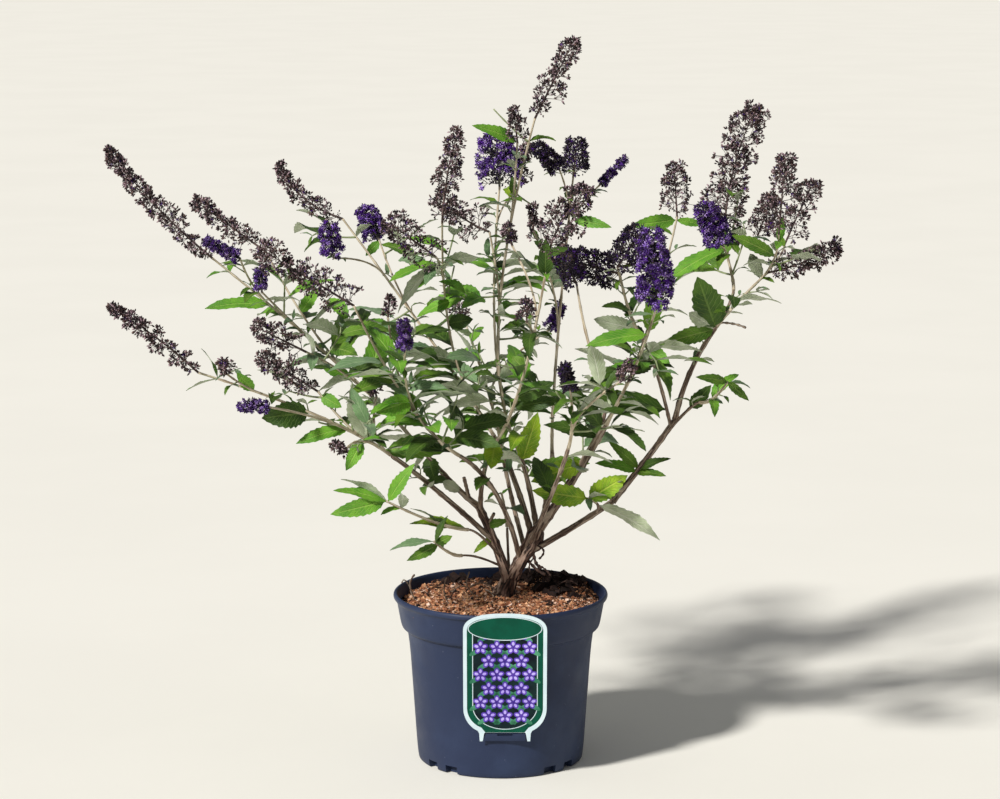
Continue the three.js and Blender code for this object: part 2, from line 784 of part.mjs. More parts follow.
/** A plume of blossom: a long cone of star-shaped rings, pinched in between its whorls. */
function plumeSolid({ axis, girth, bloom }) {
  const { waist, taper } = BLOOMS[bloom];
  const start = axis.start.clone().lerp(axis.end, -PLUME.sink / axis.distance());
  const curve = new THREE.LineCurve3(start, axis.end);
  const radiusAt = (u, angle) => {
    const ring = Math.round(u * PLUME.rings);
    const pinch = ring % 2 ? 1 : waist;
    const point = Math.round((angle / (2 * Math.PI)) * PLUME.points);
    const star = point % 2 === ring % 2 ? 1 : PLUME.dent;
    const end = u === 0 || u === 1 ? PLUME.blunt : 1;
    return (girth / 2) * (1 - taper * u) * pinch * star * end;
  };
  return solidFrom(tube(curve, radiusAt, PLUME.rings, PLUME.points));
}

/** Where a leaf or side twig leaves a twig: the point, the direction at a turn, and the root's depth. */
function budAt({ curve, ...radii }, u, turn, spread, droop) {
  const along = curve.getTangent(u);
  const level = new THREE.Vector3().crossVectors(along, UP);
  if (level.length() < SHOOT.upright) level.set(1, 0, 0);
  level.normalize();
  const above = new THREE.Vector3().crossVectors(level, along);
  const direction = along.clone().multiplyScalar(1 - spread)
    .addScaledVector(level, spread * Math.cos(turn))
    .addScaledVector(above, spread * Math.sin(turn));
  direction.z -= droop;
  const root = GROWTH.rootShare * radiusAlong(radii, u);
  return { foot: curve.getPoint(u), direction: direction.normalize(), root };
}

/** One mass of foliage as it grows. */
class GrowingMass {
  /** A mass keeps to its plan's space, clear of the others, of the limbs and of the points taken. */
  constructor(plan, others, limbs, taken) {
    this.plan = plan;
    this.others = others;
    this.limbs = limbs;
    this.taken = taken;
    this.pieces = [];
  }

  /** Whether a leaf or twig has room: whether all its probes have. */
  hasRoom(probes) {
    return probes.every((probe) => probe.z > GROWTH.lowestLeaf
      && distanceTo(probe, this.limbs) > LIMB_MARGIN
      && distanceTo(probe, this.others) > distanceTo(probe, this.plan.capsules) + SPACE_MARGIN
      && this.taken.every((point) => point.distanceTo(probe) > LEAF_MARGIN));
  }

  /** Adds a leaf, or a shorter one, where it has room. */
  addLeaf(bud, length, roll) {
    for (const size of TRIAL_SIZES) {
      const points = leafPoints(bud, length * size, roll);
      const probes = leafProbes(points);
      if (this.hasRoom(probes)) {
        this.taken.push(...probes);
        this.pieces.push(leafSolid(points));
        return;
      }
    }
  }

  /** Adds a side twig, or a shorter one, where it has room, with two pairs of leaves on it. */
  addSideTwig({ foot, direction }, turn, roll) {
    const { length, rise, radius, leafLength, leafSpread, leafDroop } = SIDE_TWIG;
    for (const size of TRIAL_SIZES) {
      const tip = foot.clone()
        .addScaledVector(direction, length * size)
        .addScaledVector(UP, rise * length);
      const twig = { curve: bowedCurve(foot, direction, tip), foot: radius, tip: radius };
      if (this.hasRoom(SIDE_TWIG.probes.map((u) => twig.curve.getPoint(u)))) {
        this.pieces.push(twigSolid(twig));
        SIDE_TWIG.nodes.forEach((u, node) => {
          for (const side of [0, Math.PI]) {
            const leafTurn = turn + side + node * (Math.PI / 2);
            this.addLeaf(budAt(twig, u, leafTurn, leafSpread, leafDroop), leafLength * size, roll);
          }
        });
        return;
      }
    }
  }

  /** Puts a pair of leaves or side twigs at every node of a shoot, a quarter turn on each time. */
  dressShoot(shoot, draw) {
    const length = shoot.curve.getLength();
    const nodes = Math.max(2, Math.round(length / GROWTH.internode));
    const vigour = shoot.plume
      ? clamp(length / GROWTH.fullVigourLength, GROWTH.leastVigour, 1)
      : GROWTH.leafyVigour;
    const firstTurn = draw() * Math.PI;
    for (let node = 0; node < nodes; node += 1) {
      const u = Math.min(GROWTH.lastNode, GROWTH.bareFoot / length + (node + 0.5) / nodes);
      const leafLength = vigour * lerp(GROWTH.longestLeaf, GROWTH.shortestLeaf, u);
      const sideTwigs = lerp(GROWTH.lowSideTwigs, GROWTH.highSideTwigs, u);
      for (const side of [0, Math.PI]) {
        const turn = firstTurn + node * (Math.PI / 2) + side + GROWTH.turnJitter * (draw() - 0.5);
        const spread = lerp(...GROWTH.leafSpreads, draw());
        const droop = GROWTH.leafDroop * draw();
        const size = lerp(...GROWTH.leafSizes, draw());
        const roll = GROWTH.leafRoll * (draw() - 0.5);
        const branches = draw() < sideTwigs;
        if (branches) this.addSideTwig(budAt(shoot, u, turn, spread, 0), turn, roll);
        else this.addLeaf(budAt(shoot, u, turn, spread, droop), leafLength * size, roll);
      }
    }
  }

  /** Grows every shoot with its plume and leaves, and fuses them. */
  grow(seed) {
    this.plan.shoots.forEach((shoot, number) => {
      this.pieces.push(twigSolid(shoot));
      if (shoot.plume) this.pieces.push(plumeSolid(shoot.plume));
      this.dressShoot(shoot, seededStream(seed + SHOOT_SEED_STEP * number));
    });
    return wasm.Manifold.union(this.pieces);
  }
}

/** Every mass of foliage, each cut a clearance away from the limbs. */
function massSolids(curves, grownLimbs) {
  const limbs = LIMBS.flatMap((limb) => capsulesAlong(curves[limb.name], ...limb.radii));
  const plans = Object.keys(MASSES).map((name) => massPlan(name, curves[name]));
  const taken = [];
  return plans.map((plan, number) => {
    const others = plans.filter((other) => other !== plan).flatMap((other) => other.capsules);
    const grown = new GrowingMass(plan, others, limbs, taken).grow(SEED + MASS_SEED_STEP * number);
    return { name: plan.name, solid: largestBody(grown.subtract(grownLimbs)) };
  });
}

// ------------------------------------------------------------------ assembly

const plant = new THREE.Group();

/** Adds a solid to the plant as a named mesh. */
function addNode(name, solid, material) {
  const mesh = new THREE.Mesh(geometryFrom(solid.simplify(FLAT)), material);
  mesh.name = name;
  plant.add(mesh);
}

const curves = limbCurves();
const { solids: limbs, grown: grownLimbs } = limbSolids(curves);

addNode('pot', potSolid(), MATERIALS.pot);
addNode('soil', soilSolid(), MATERIALS.soil);
addNode('label_plate', labelSolid(), MATERIALS.label);
for (const [name, solid] of Object.entries(limbs)) addNode(name, solid, MATERIALS.bark);
for (const { name, solid } of massSolids(curves, grownLimbs)) {
  addNode(`${name}_foliage`, solid, MATERIALS.foliage);
}

export default plant;
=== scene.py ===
"""A butterfly bush in its nursery pot: woodwork, leaves, blossom, pot, soil, label, floor and light.

Sizes are millimetres here and metres in the meshes. +Z is up, the origin is the middle of the pot's flat
underside, and the label faces -Y. The plant grows by one seeded rule: limbs bow out from their parents,
shoots go on from the limbs' tips, and every node of a shoot carries a pair of leaves or side twigs, a
quarter turn on from the pair before it.
"""

import json
import logging
import math
from collections import defaultdict
from dataclasses import dataclass, field
from enum import Enum
from itertools import product
from typing import Any, Callable, Sequence

import bpy
import numpy as np
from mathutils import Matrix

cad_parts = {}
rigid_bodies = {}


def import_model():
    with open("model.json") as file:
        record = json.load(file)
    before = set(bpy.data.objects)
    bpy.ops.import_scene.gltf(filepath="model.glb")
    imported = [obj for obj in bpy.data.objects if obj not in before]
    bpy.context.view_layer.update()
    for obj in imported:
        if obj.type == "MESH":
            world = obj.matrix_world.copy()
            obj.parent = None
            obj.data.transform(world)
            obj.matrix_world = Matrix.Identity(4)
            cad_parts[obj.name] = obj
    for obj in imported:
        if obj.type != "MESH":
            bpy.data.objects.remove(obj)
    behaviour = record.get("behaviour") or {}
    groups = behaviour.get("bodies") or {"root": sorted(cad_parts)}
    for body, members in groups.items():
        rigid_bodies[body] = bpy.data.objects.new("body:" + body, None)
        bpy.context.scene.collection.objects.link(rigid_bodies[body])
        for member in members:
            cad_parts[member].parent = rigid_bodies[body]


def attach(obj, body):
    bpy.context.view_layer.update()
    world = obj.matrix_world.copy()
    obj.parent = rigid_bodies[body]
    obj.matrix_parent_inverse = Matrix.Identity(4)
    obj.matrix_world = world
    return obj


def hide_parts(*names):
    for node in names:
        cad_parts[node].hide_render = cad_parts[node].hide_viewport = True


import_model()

Array = np.ndarray
Random = np.random.Generator
Socket = bpy.types.NodeSocket
Pair = tuple[float, float]
Triple = tuple[float, float, float]
Bud = tuple[np.ndarray, np.ndarray]

LOG = logging.getLogger("shrub")
MM = 0.001
UP = np.array([0.0, 0.0, 1.0])
ACROSS = np.array([1.0, 0.0, 0.0])
FULL_TURN = 2 * math.pi
QUARTER_TURN = math.pi / 2
GOLDEN_TURN = 2.4
SEED = 1800
CLEARANCE = 0.3
BEND_STEPS = 201
BOX_FACES = np.array([[0, 1, 3, 2], [4, 6, 7, 5], [0, 4, 5, 1], [2, 3, 7, 6], [0, 2, 6, 4], [1, 5, 7, 3]])


# ---------------- numbers, vectors and noise


def unit(vectors: Array) -> Array:
    """Vectors scaled to length one along their last axis."""
    return vectors / np.maximum(np.linalg.norm(vectors, axis=-1, keepdims=True), 1e-12)


def blend(low: Any, high: Any, share: Any) -> Any:
    """The value a share of the way from low to high."""
    return low + (high - low) * share


def smooth_step(value: Array, low: float, high: float) -> Array:
    """A smooth rise from 0 at low to 1 at high: 3t^2 - 2t^3."""
    share = np.clip((value - low) / (high - low), 0, 1)
    return share * share * (3 - 2 * share)


def swung(vectors: Array, axes: Array, angles: Array) -> Array:
    """Vectors turned about unit axes by angles: v cos a + (k x v) sin a + k (k.v)(1 - cos a)."""
    cosine, sine = np.cos(angles)[..., None], np.sin(angles)[..., None]
    along = np.sum(axes * vectors, axis=-1, keepdims=True)
    return vectors * cosine + np.cross(axes, vectors) * sine + axes * along * (1 - cosine)


def upright_turn(turn: float) -> Array:
    """The matrix that turns rows about the vertical axis."""
    cosine, sine = math.cos(turn), math.sin(turn)
    return np.array([[cosine, sine, 0], [-sine, cosine, 0], [0, 0, 1]])


def ring(radius: float, height: float, count: int) -> Array:
    """Points round the vertical axis: radius times the cosine and the sine of even turns, and a height."""
    turns = FULL_TURN * np.arange(count) / count
    return np.stack([radius * np.cos(turns), radius * np.sin(turns), np.full(count, height)], axis=1)


def lattice_noise(places: Array, seed: int) -> Array:
    """Smooth noise from -1 to 1.

    Each corner of a unit lattice has a number, by a hash of its coordinates. A place takes the mean of
    its cell's corners, weighted by smoothed shares along the axes.

    Args:
        places: Points, one in each row.
        seed: Chooses the pattern.

    Returns:
        One number for each point.
    """
    cell = np.floor(places).astype(np.int64)
    share = smooth_step(places - cell, 0, 1)
    total = np.zeros(places.shape[:-1])
    for corner in product((0, 1), repeat=3):
        key = (cell + corner) @ np.array([73856093, 19349663, 83492791]) + seed * 6542989
        key = ((key ^ (key >> 13)) * 1274126177) & 0xFFFFFFFF
        value = ((key ^ (key >> 15)) & 0xFFFF) / 32767.5 - 1
        total += value * np.prod(np.where(corner, share, 1 - share), axis=-1)
    return total


def rough_noise(places: Array, octaves: int, seed: int) -> Array:
    """Lattice noise summed over octaves, each twice as fine and half as strong as the one before."""
    return sum(lattice_noise(places * 2**k, seed + k) / 2**k for k in range(octaves))


class SeededStream:
    """A repeatable stream of numbers from 0 to 1, the same as the source's."""

    def __init__(self, seed: int) -> None:
        """Starts the stream at a seed."""
        self.state = seed & 0xFFFFFFFF

    def draw(self) -> float:
        """The next number: state times 1664525 plus 1013904223, modulo 2^32."""
        self.state = (self.state * 1664525 + 1013904223) & 0xFFFFFFFF
        return self.state / 2**32


@dataclass(frozen=True)
class Bend:
    """A quadratic curve by its start, its control point and its tip."""

    start: Array
    control: Array
    tip: Array

    @classmethod
    def through(cls, start: Any, middle: Any, tip: Any) -> "Bend":
        """The curve that passes a middle point half way: its control is 2 middle - (start + tip) / 2."""
        start, middle, tip = (np.asarray(point, float) for point in (start, middle, tip))
        return cls(start, 2 * middle - (start + tip) / 2, tip)

    @classmethod
    def bowed(cls, start: Array, direction: Array, tip: Array, bow: float = 0.35) -> "Bend":
        """The curve that sets off along a direction for a share of its reach, then bends to its tip."""
        return cls(start, start + direction * bow * float(np.linalg.norm(tip - start)), tip)

    def point(self, share: Any) -> Array:
        """Points at curve shares t: (1-t)^2 start + 2t(1-t) control + t^2 tip."""
        t = np.asarray(share, float)[..., None]
        return (1 - t) ** 2 * self.start + 2 * t * (1 - t) * self.control + t * t * self.tip

    def tangent(self, share: Any) -> Array:
        """Unit directions at curve shares t: (1-t)(control - start) + t(tip - control), scaled to 1."""
        t = np.asarray(share, float)[..., None]
        return unit((1 - t) * (self.control - self.start) + t * (self.tip - self.control))

    def lengths(self) -> Array:
        """The length so far at even curve shares."""
        steps = np.diff(self.point(np.linspace(0, 1, BEND_STEPS)), axis=0)
        return np.concatenate([[0], np.cumsum(np.linalg.norm(steps, axis=1))])

    @property
    def length(self) -> float:
        """The whole length."""
        return float(self.lengths()[-1])

    def station(self, fraction: Any) -> Array:
        """The point at a fraction of the whole length."""
        lengths = self.lengths()
        share = np.interp(np.asarray(fraction) * lengths[-1], lengths, np.linspace(0, 1, BEND_STEPS))
        return self.point(share)


# ---------------- surfaces and pieces


def grid_quads(rows: int, columns: int, wrap: bool) -> Array:
    """The quads of a grid of points counted row by row.

    Args:
        rows: Rows of points.
        columns: Points in a row.
        wrap: Whether the last column joins the first.

    Returns:
        Four point numbers for each quad, turned from the row towards the next row.
    """
    row, column = np.meshgrid(np.arange(rows - 1), np.arange(columns - (not wrap)), indexing="ij")
    start, right = row * columns, (column + 1) % columns
    corners = [start + column, start + right, start + columns + right, start + columns + column]
    return np.stack(corners, axis=-1).reshape(-1, 4)


def fan(centre: int, rim: Array) -> Array:
    """The triangles from a centre point to the sides of a closed rim of points."""
    return np.stack([np.full(len(rim), centre), rim, np.roll(rim, -1)], axis=1)


def end_fans(rows: int, sides: int) -> Array:
    """The fans that close a stack of rings, whose two end points are counted after the rings."""
    rim = np.arange(sides)
    return np.concatenate([fan(rows * sides, rim[::-1]), fan(rows * sides + 1, rim + (rows - 1) * sides)])


@dataclass
class Surface:
    """Points with faces of one or more corner counts, and a map place for each corner of each face."""

    points: Array
    faces: list[Array]
    places: list[Array] = field(default_factory=list)

    def corner_places(self) -> list[Array]:
        """The corners' map places, or zeros where the surface has none."""
        return self.places or [np.zeros((*faces.shape, 2)) for faces in self.faces]


def tube(centres: Array, radii: Array, sides: int) -> Surface:
    """A closed tube: a ring of points about each centre, square to the line of centres.

    Its map holds the share of the way around, and the length so far in metres.

    Args:
        centres: Points along the middle line.
        radii: One radius for each centre, or one for each centre and side.
        sides: Points in a ring.

    Returns:
        The tube, with a fan over each end.
    """
    count = len(centres)
    tangents = unit(np.gradient(centres, axis=0))
    reference = np.eye(3)[np.argmin(np.abs(centres[-1] - centres[0]))]
    normals = unit(np.cross(tangents, reference))
    binormals = np.cross(tangents, normals)
    angles = FULL_TURN * np.arange(sides) / sides
    out = np.cos(angles)[:, None] * normals[:, None] + np.sin(angles)[:, None] * binormals[:, None]
    reach = np.broadcast_to(np.reshape(radii, (count, -1)), (count, sides))
    rings = centres[:, None] + out * reach[..., None]
    points = np.concatenate([rings.reshape(-1, 3), centres[:1], centres[-1:]])
    quads, ends = grid_quads(count, sides, wrap=True), end_fans(count, sides)
    lengths = np.concatenate([[0], np.cumsum(np.linalg.norm(np.diff(centres, axis=0), axis=1))]) * MM
    row, column = quads[:, 0] // sides, quads[:, 0] % sides
    around = np.stack([column, column + 1, column + 1, column], axis=1) / sides
    along = lengths[np.stack([row, row, row + 1, row + 1], axis=1)]
    return Surface(points, [quads, ends], [np.stack([around, along], axis=-1), np.zeros((len(ends), 3, 2))])


def turned_surface(profile: Array, sides: int) -> Surface:
    """A closed turned surface: the profile's points carried round the vertical axis.

    Args:
        profile: Points of radius and height. The first and last lie on the axis.
        sides: Points round the axis.

    Returns:
        The surface, with a fan at each pole.
    """
    rows = len(profile) - 2
    rings = [ring(radius, height, sides) for radius, height in profile[1:-1]]
    poles = [[0, 0, profile[0, 1]], [0, 0, profile[-1, 1]]]
    faces = [grid_quads(rows, sides, wrap=True), end_fans(rows, sides)]
    return Surface(np.concatenate([*rings, poles]), faces)


def softened(profile: Array, rounds: int) -> Array:
    """A profile with its corners cut: each inner corner becomes two points a quarter along its sides."""
    for _ in range(rounds):
        middle = np.stack([blend(profile[:-1], profile[1:], share) for share in (0.25, 0.75)], axis=1)
        profile = np.concatenate([profile[:1], middle.reshape(-1, 2), profile[-1:]])
    return profile


def frames_about(axes: Array, spins: Array) -> Array:
    """Frames of three unit rows at right angles, whose third is a unit axis, turned about it by a spin."""
    flat = np.abs(axes[:, 2]) < 0.9
    side = swung(unit(np.cross(axes, np.where(flat[:, None], UP, ACROSS))), axes, spins)
    return np.stack([side, np.cross(axes, side), axes], axis=1)


def scattered(template: Surface, centres: Array, frames: Array, sizes: Array) -> Surface:
    """Copies of a shape: each point is a centre plus the frame's rows times size and template.

    Args:
        template: The shape, about one unit large.
        centres: Where each copy goes.
        frames: The frame of each copy.
        sizes: Three sizes for each copy.

    Returns:
        All copies as one surface.
    """
    count, per = len(centres), len(template.points)
    local = template.points[None] * sizes[:, None]
    points = centres[:, None] + np.einsum("npk,nkd->npd", local, frames)
    shift = np.arange(count)[:, None, None] * per
    faces = [(faces[None] + shift).reshape(-1, faces.shape[1]) for faces in template.faces]
    places = [np.tile(places, (count, 1, 1)) for places in template.corner_places()]
    return Surface(points.reshape(-1, 3), faces, places)


def flat_plate(outline: Array, low: float, high: float) -> Surface:
    """A plate over an outline, counter-clockwise seen from above, between two depths."""
    count = len(outline)
    levels = [np.column_stack([outline, np.full(count, depth)]) for depth in (low, high)]
    rim = np.arange(count)
    beside = np.roll(rim, -1)
    walls = np.stack([rim, beside, beside + count, rim + count], axis=1)
    return Surface(np.concatenate(levels), [rim[None, ::-1], rim[None] + count, walls])


def stood(name: str, data: Any) -> bpy.types.Object:
    """A new object that stands in the scene."""
    obj = bpy.data.objects.new(name, data)
    bpy.context.scene.collection.objects.link(obj)
    return obj


class Joinery:
    """Gathers many small surfaces and joins them into one piece."""

    def __init__(self) -> None:
        """Starts with nothing gathered."""
        self.points: list[Array] = []
        self.faces: list[Array] = []
        self.places: list[Array] = []
        self.finish_numbers: list[Array] = []
        self.count = 0

    def add(self, surface: Surface, finish_number: int = 0) -> None:
        """Adds a surface in millimetres, whose faces take one of the piece's finishes by its number."""
        for faces, places in zip(surface.faces, surface.corner_places()):
            self.faces.append(faces + self.count)
            self.places.append(places)
            self.finish_numbers.append(np.full(len(faces), finish_number))
        self.points.append(surface.points)
        self.count += len(surface.points)

    def mesh(self, name: str, smooth: bool) -> bpy.types.Mesh:
        """The gathered surfaces as one mesh in metres, shaded smooth or flat."""
        mesh = bpy.data.meshes.new(name)
        corners = np.concatenate([faces.ravel() for faces in self.faces])
        sizes = np.concatenate([np.full(len(faces), faces.shape[1]) for faces in self.faces])
        mesh.vertices.add(self.count)
        mesh.vertices.foreach_set("co", (np.concatenate(self.points) * MM).astype(np.float32).ravel())
        mesh.loops.add(len(corners))
        mesh.loops.foreach_set("vertex_index", corners.astype(np.int32))
        mesh.polygons.add(len(sizes))
        starts = np.concatenate([[0], np.cumsum(sizes)[:-1]])
        mesh.polygons.foreach_set("loop_start", starts.astype(np.int32))
        mesh.polygons.foreach_set("material_index", np.concatenate(self.finish_numbers).astype(np.int32))
        mesh.polygons.foreach_set("use_smooth", np.full(len(sizes), smooth))
        places = np.concatenate([places.reshape(-1, 2) for places in self.places])
        mesh.uv_layers.new(name="surface").data.foreach_set("uv", places.astype(np.float32).ravel())
        mesh.update(calc_edges=True)
        mesh.validate()
        return mesh

    def piece(self, name: str, finishes: Sequence[Any], slot: str, nodes: Sequence[str],
              smooth: bool = True) -> bpy.types.Object:
        """Joins what was gathered into one piece of the object.

        Args:
            name: The piece's name.
            finishes: Its finishes, in the order of their numbers.
            slot: Not used.
            nodes: The frame's nodes that it stands for.
            smooth: Whether its faces are shaded smooth.

        Returns:
            The piece, riding on the frame's body.
        """
        obj = stood(name, self.mesh(name, smooth))
        for finish in finishes:
            obj.data.materials.append(bpy.data.materials.get(finish.name) or finish.material())
        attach(obj, "root")
        if nodes:
            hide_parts(*nodes)
        LOG.info("%s: %d faces", name, len(obj.data.polygons))
        return obj


# ---------------- finishes


def paint(red: float, green: float, blue: float) -> tuple[float, ...]:
    """A display colour from 0 to 255 as linear light, by the display curve's two parts, with full cover."""
    shares = (channel / 255 for channel in (red, green, blue))
    return (*(s / 12.92 if s < 0.04045 else ((s + 0.055) / 1.055) ** 2.4 for s in shares), 1.0)


class Bench:
    """A material under construction: its node tree and the shader at its end."""

    def __init__(self, name: str, roughness: Any, gloss: float = 0.5, sheen: float = 0.0) -> None:
        """Starts a material with one shader of a given roughness, gloss and sheen."""
        self.material = bpy.data.materials.new(name)
        self.material.use_nodes = True
        self.tree = self.material.node_tree
        self.tree.nodes.clear()
        looks = {"Roughness": roughness, "Specular IOR Level": gloss, "Sheen Weight": sheen}
        self.shader = self.node("BsdfPrincipled", looks)
        self.node("OutputMaterial", {0: self.shader.outputs[0]})

    def node(self, kind: str, inputs: dict[Any, Any], **settings: str) -> bpy.types.Node:
        """Adds a node.

        Args:
            kind: The end of its type's name.
            inputs: A value by an input's name or number: a socket is linked, and else it is written.
            settings: The node's named options.

        Returns:
            The node.
        """
        node = self.tree.nodes.new(f"ShaderNode{kind}")
        for name, value in settings.items():
            setattr(node, name, value)
        for name, value in inputs.items():
            self.set(node.inputs[name], value)
        return node

    def set(self, socket: Socket, value: Any) -> None:
        """Links a value that is a socket, or writes it as the socket's own."""
        if isinstance(value, Socket):
            self.tree.links.new(value, socket)
        else:
            socket.default_value = value

    def places(self) -> Socket:
        """The surface's places on the object, in metres."""
        return self.node("TexCoord", {}).outputs["Object"]

    def surface_map(self) -> tuple[Socket, Socket]:
        """The two places of the piece's own map."""
        parts = self.node("SeparateXYZ", {0: self.node("TexCoord", {}).outputs["UV"]})
        return parts.outputs[0], parts.outputs[1]

    def math(self, operation: str, first: Any, second: Any = 0.0) -> Socket:
        """One step of arithmetic."""
        return self.node("Math", {0: first, 1: second}, operation=operation).outputs[0]

    def noise(self, places: Any, scale: float, detail: float = 3.0, rough: float = 0.55) -> Socket:
        """Noise from 0 to 1 over some places."""
        inputs = {"Vector": places, "Scale": scale, "Detail": detail, "Roughness": rough}
        return self.node("TexNoise", inputs).outputs["Fac"]

    def ramp(self, value: Any, low: float, high: float, start: float = 0.0, end: float = 1.0) -> Socket:
        """A value carried smoothly from low..high to start..end."""
        inputs = {"Value": value, "From Min": low, "From Max": high, "To Min": start, "To Max": end}
        return self.node("MapRange", inputs, interpolation_type="SMOOTHSTEP").outputs["Result"]

    def mix(self, share: Any, first: Any, second: Any) -> Socket:
        """A colour a share of the way between two, each a socket or a display colour."""
        first, second = (end if isinstance(end, Socket) else paint(*end) for end in (first, second))
        return self.node("Mix", {0: share, 6: first, 7: second}, data_type="RGBA").outputs[2]

    def finish(self, colour: Any, height: Any, depth: float) -> bpy.types.Material:
        """Sets the colour, bumps the surface by a height times a depth in metres, and hands it over."""
        bump = self.node("Bump", {"Strength": 1.0, "Distance": depth, "Height": height})
        self.set(self.shader.inputs["Base Color"], colour)
        self.set(self.shader.inputs["Normal"], bump.outputs[0])
        return self.material


@dataclass(frozen=True)
class Mottled:
    """A finish whose colour drifts between two, with a fine relief."""

    name: str
    colour: Triple
    second: Triple
    scale: float = 60.0
    fine: float = 700.0
    roughness: float = 0.8
    depth: float = 0.0003
    sheen: float = 0.0
    gloss: float = 0.3

    def material(self) -> bpy.types.Material:
        """Builds it: broad noise mixes the colours and fine noise raises the relief."""
        bench = Bench(self.name, self.roughness, self.gloss, self.sheen)
        places = bench.places()
        drift = bench.ramp(bench.noise(places, self.scale, 4), 0.35, 0.65)
        colour = bench.mix(drift, self.colour, self.second)
        return bench.finish(colour, bench.noise(places, self.fine, 2), self.depth)


@dataclass(frozen=True)
class Blade:
    """One side of a leaf: net of side veins that run forward from the midrib to the edge."""

    name: str
    colour: Triple
    vein: Triple
    shade: Triple
    roughness: float = 0.5
    veins: float = 11.0
    forward: float = 2.6
    vein_share: float = 0.45
    depth: float = 0.0006
    sheen: float = 0.0

    def material(self) -> bpy.types.Material:
        """Builds it.

        A vein's phase is veins times the length's share, less forward times the distance from the
        midrib. The colour takes the vein's colour where the phase's cosine is high and along the midrib.

        Returns:
            The material.
        """
        bench = Bench(self.name, self.roughness, 0.3, self.sheen)
        across, along = bench.surface_map()
        edge = bench.math("ABSOLUTE", bench.math("SUBTRACT", across, 0.5))
        slant = bench.math("MULTIPLY", edge, self.forward * 2)
        phase = bench.math("SUBTRACT", bench.math("MULTIPLY", along, self.veins), slant)
        wave = bench.math("COSINE", bench.math("MULTIPLY", phase, FULL_TURN))
        net = bench.math("MAXIMUM", bench.ramp(wave, 0.72, 1.0), bench.ramp(edge, 0.02, 0.055, 1.0, 0.0))
        drift = bench.ramp(bench.noise(bench.places(), 55, 3), 0.35, 0.68)
        ground = bench.mix(drift, self.colour, self.shade)
        colour = bench.mix(bench.math("MULTIPLY", net, self.vein_share), ground, self.vein)
        quilt = bench.math("SUBTRACT", bench.noise(bench.places(), 900, 2), net)
        return bench.finish(colour, quilt, self.depth)


@dataclass(frozen=True)
class Streaked:
    """Bark: streaks along the stem, flakes that have peeled off, and a rough relief."""

    name: str
    colour: Triple
    streak: Triple
    flake: Triple
    around: float = 5.0
    along: float = 60.0
    flake_share: float = 0.5
    depth: float = 0.0008
    roughness: float = 0.85

    def material(self) -> bpy.types.Material:
        """Builds it: the map's place around is bent into a circle, so that streaks meet behind the stem."""
        bench = Bench(self.name, self.roughness)
        around, along = bench.surface_map()
        angle = bench.math("MULTIPLY", around, FULL_TURN)
        turned = (bench.math(turn, angle) for turn in ("COSINE", "SINE"))
        places = [bench.math("MULTIPLY", place, self.around) for place in turned]
        places.append(bench.math("MULTIPLY", along, self.along))
        places = bench.node("CombineXYZ", dict(enumerate(places))).outputs[0]
        streaks = bench.noise(places, 1.0, 4, 0.65)
        flakes = bench.ramp(bench.noise(places, 0.37, 3), 0.52, 0.58, 0.0, self.flake_share)
        ground = bench.mix(bench.ramp(streaks, 0.4, 0.58), self.streak, self.colour)
        height = bench.math("ADD", streaks, bench.math("MULTIPLY", flakes, 0.5))
        return bench.finish(bench.mix(flakes, ground, self.flake), height, self.depth)


@dataclass(frozen=True)
class Moulded:
    """Moulded plastic: a satin skin with dust, pale scuffs and a few rubbed specks."""

    name: str
    colour: Triple
    dust: Triple
    scuff: Triple

    def material(self) -> bpy.types.Material:
        """Builds it: dust by broad noise, scuffs where stretched noise peaks, and a faint pebbled skin."""
        bench = Bench(self.name, 0.45, 0.22)
        places = bench.places()
        dust = bench.ramp(bench.noise(places, 9, 5, 0.6), 0.42, 0.75, 0.0, 0.4)
        specks = bench.ramp(bench.noise(places, 260, 2), 0.74, 0.8, 0.0, 0.5)
        stretch = {"Scale": (1.0, 1.0, 7.0), "Rotation": (0.4, 0.25, 0.0), "Vector": places}
        stretched = bench.node("Mapping", stretch).outputs[0]
        scuffs = bench.ramp(bench.noise(stretched, 34, 6, 0.7), 0.69, 0.78, 0.0, 0.3)
        ground = bench.mix(dust, self.colour, self.dust)
        rough = bench.ramp(bench.noise(places, 24, 4), 0.3, 0.7, 0.4, 0.56)
        bench.set(bench.shader.inputs["Roughness"], rough)
        colour = bench.mix(bench.math("MAXIMUM", specks, scuffs), ground, self.scuff)
        return bench.finish(colour, bench.noise(places, 620, 3), 0.00012)


# ---------------- the pot


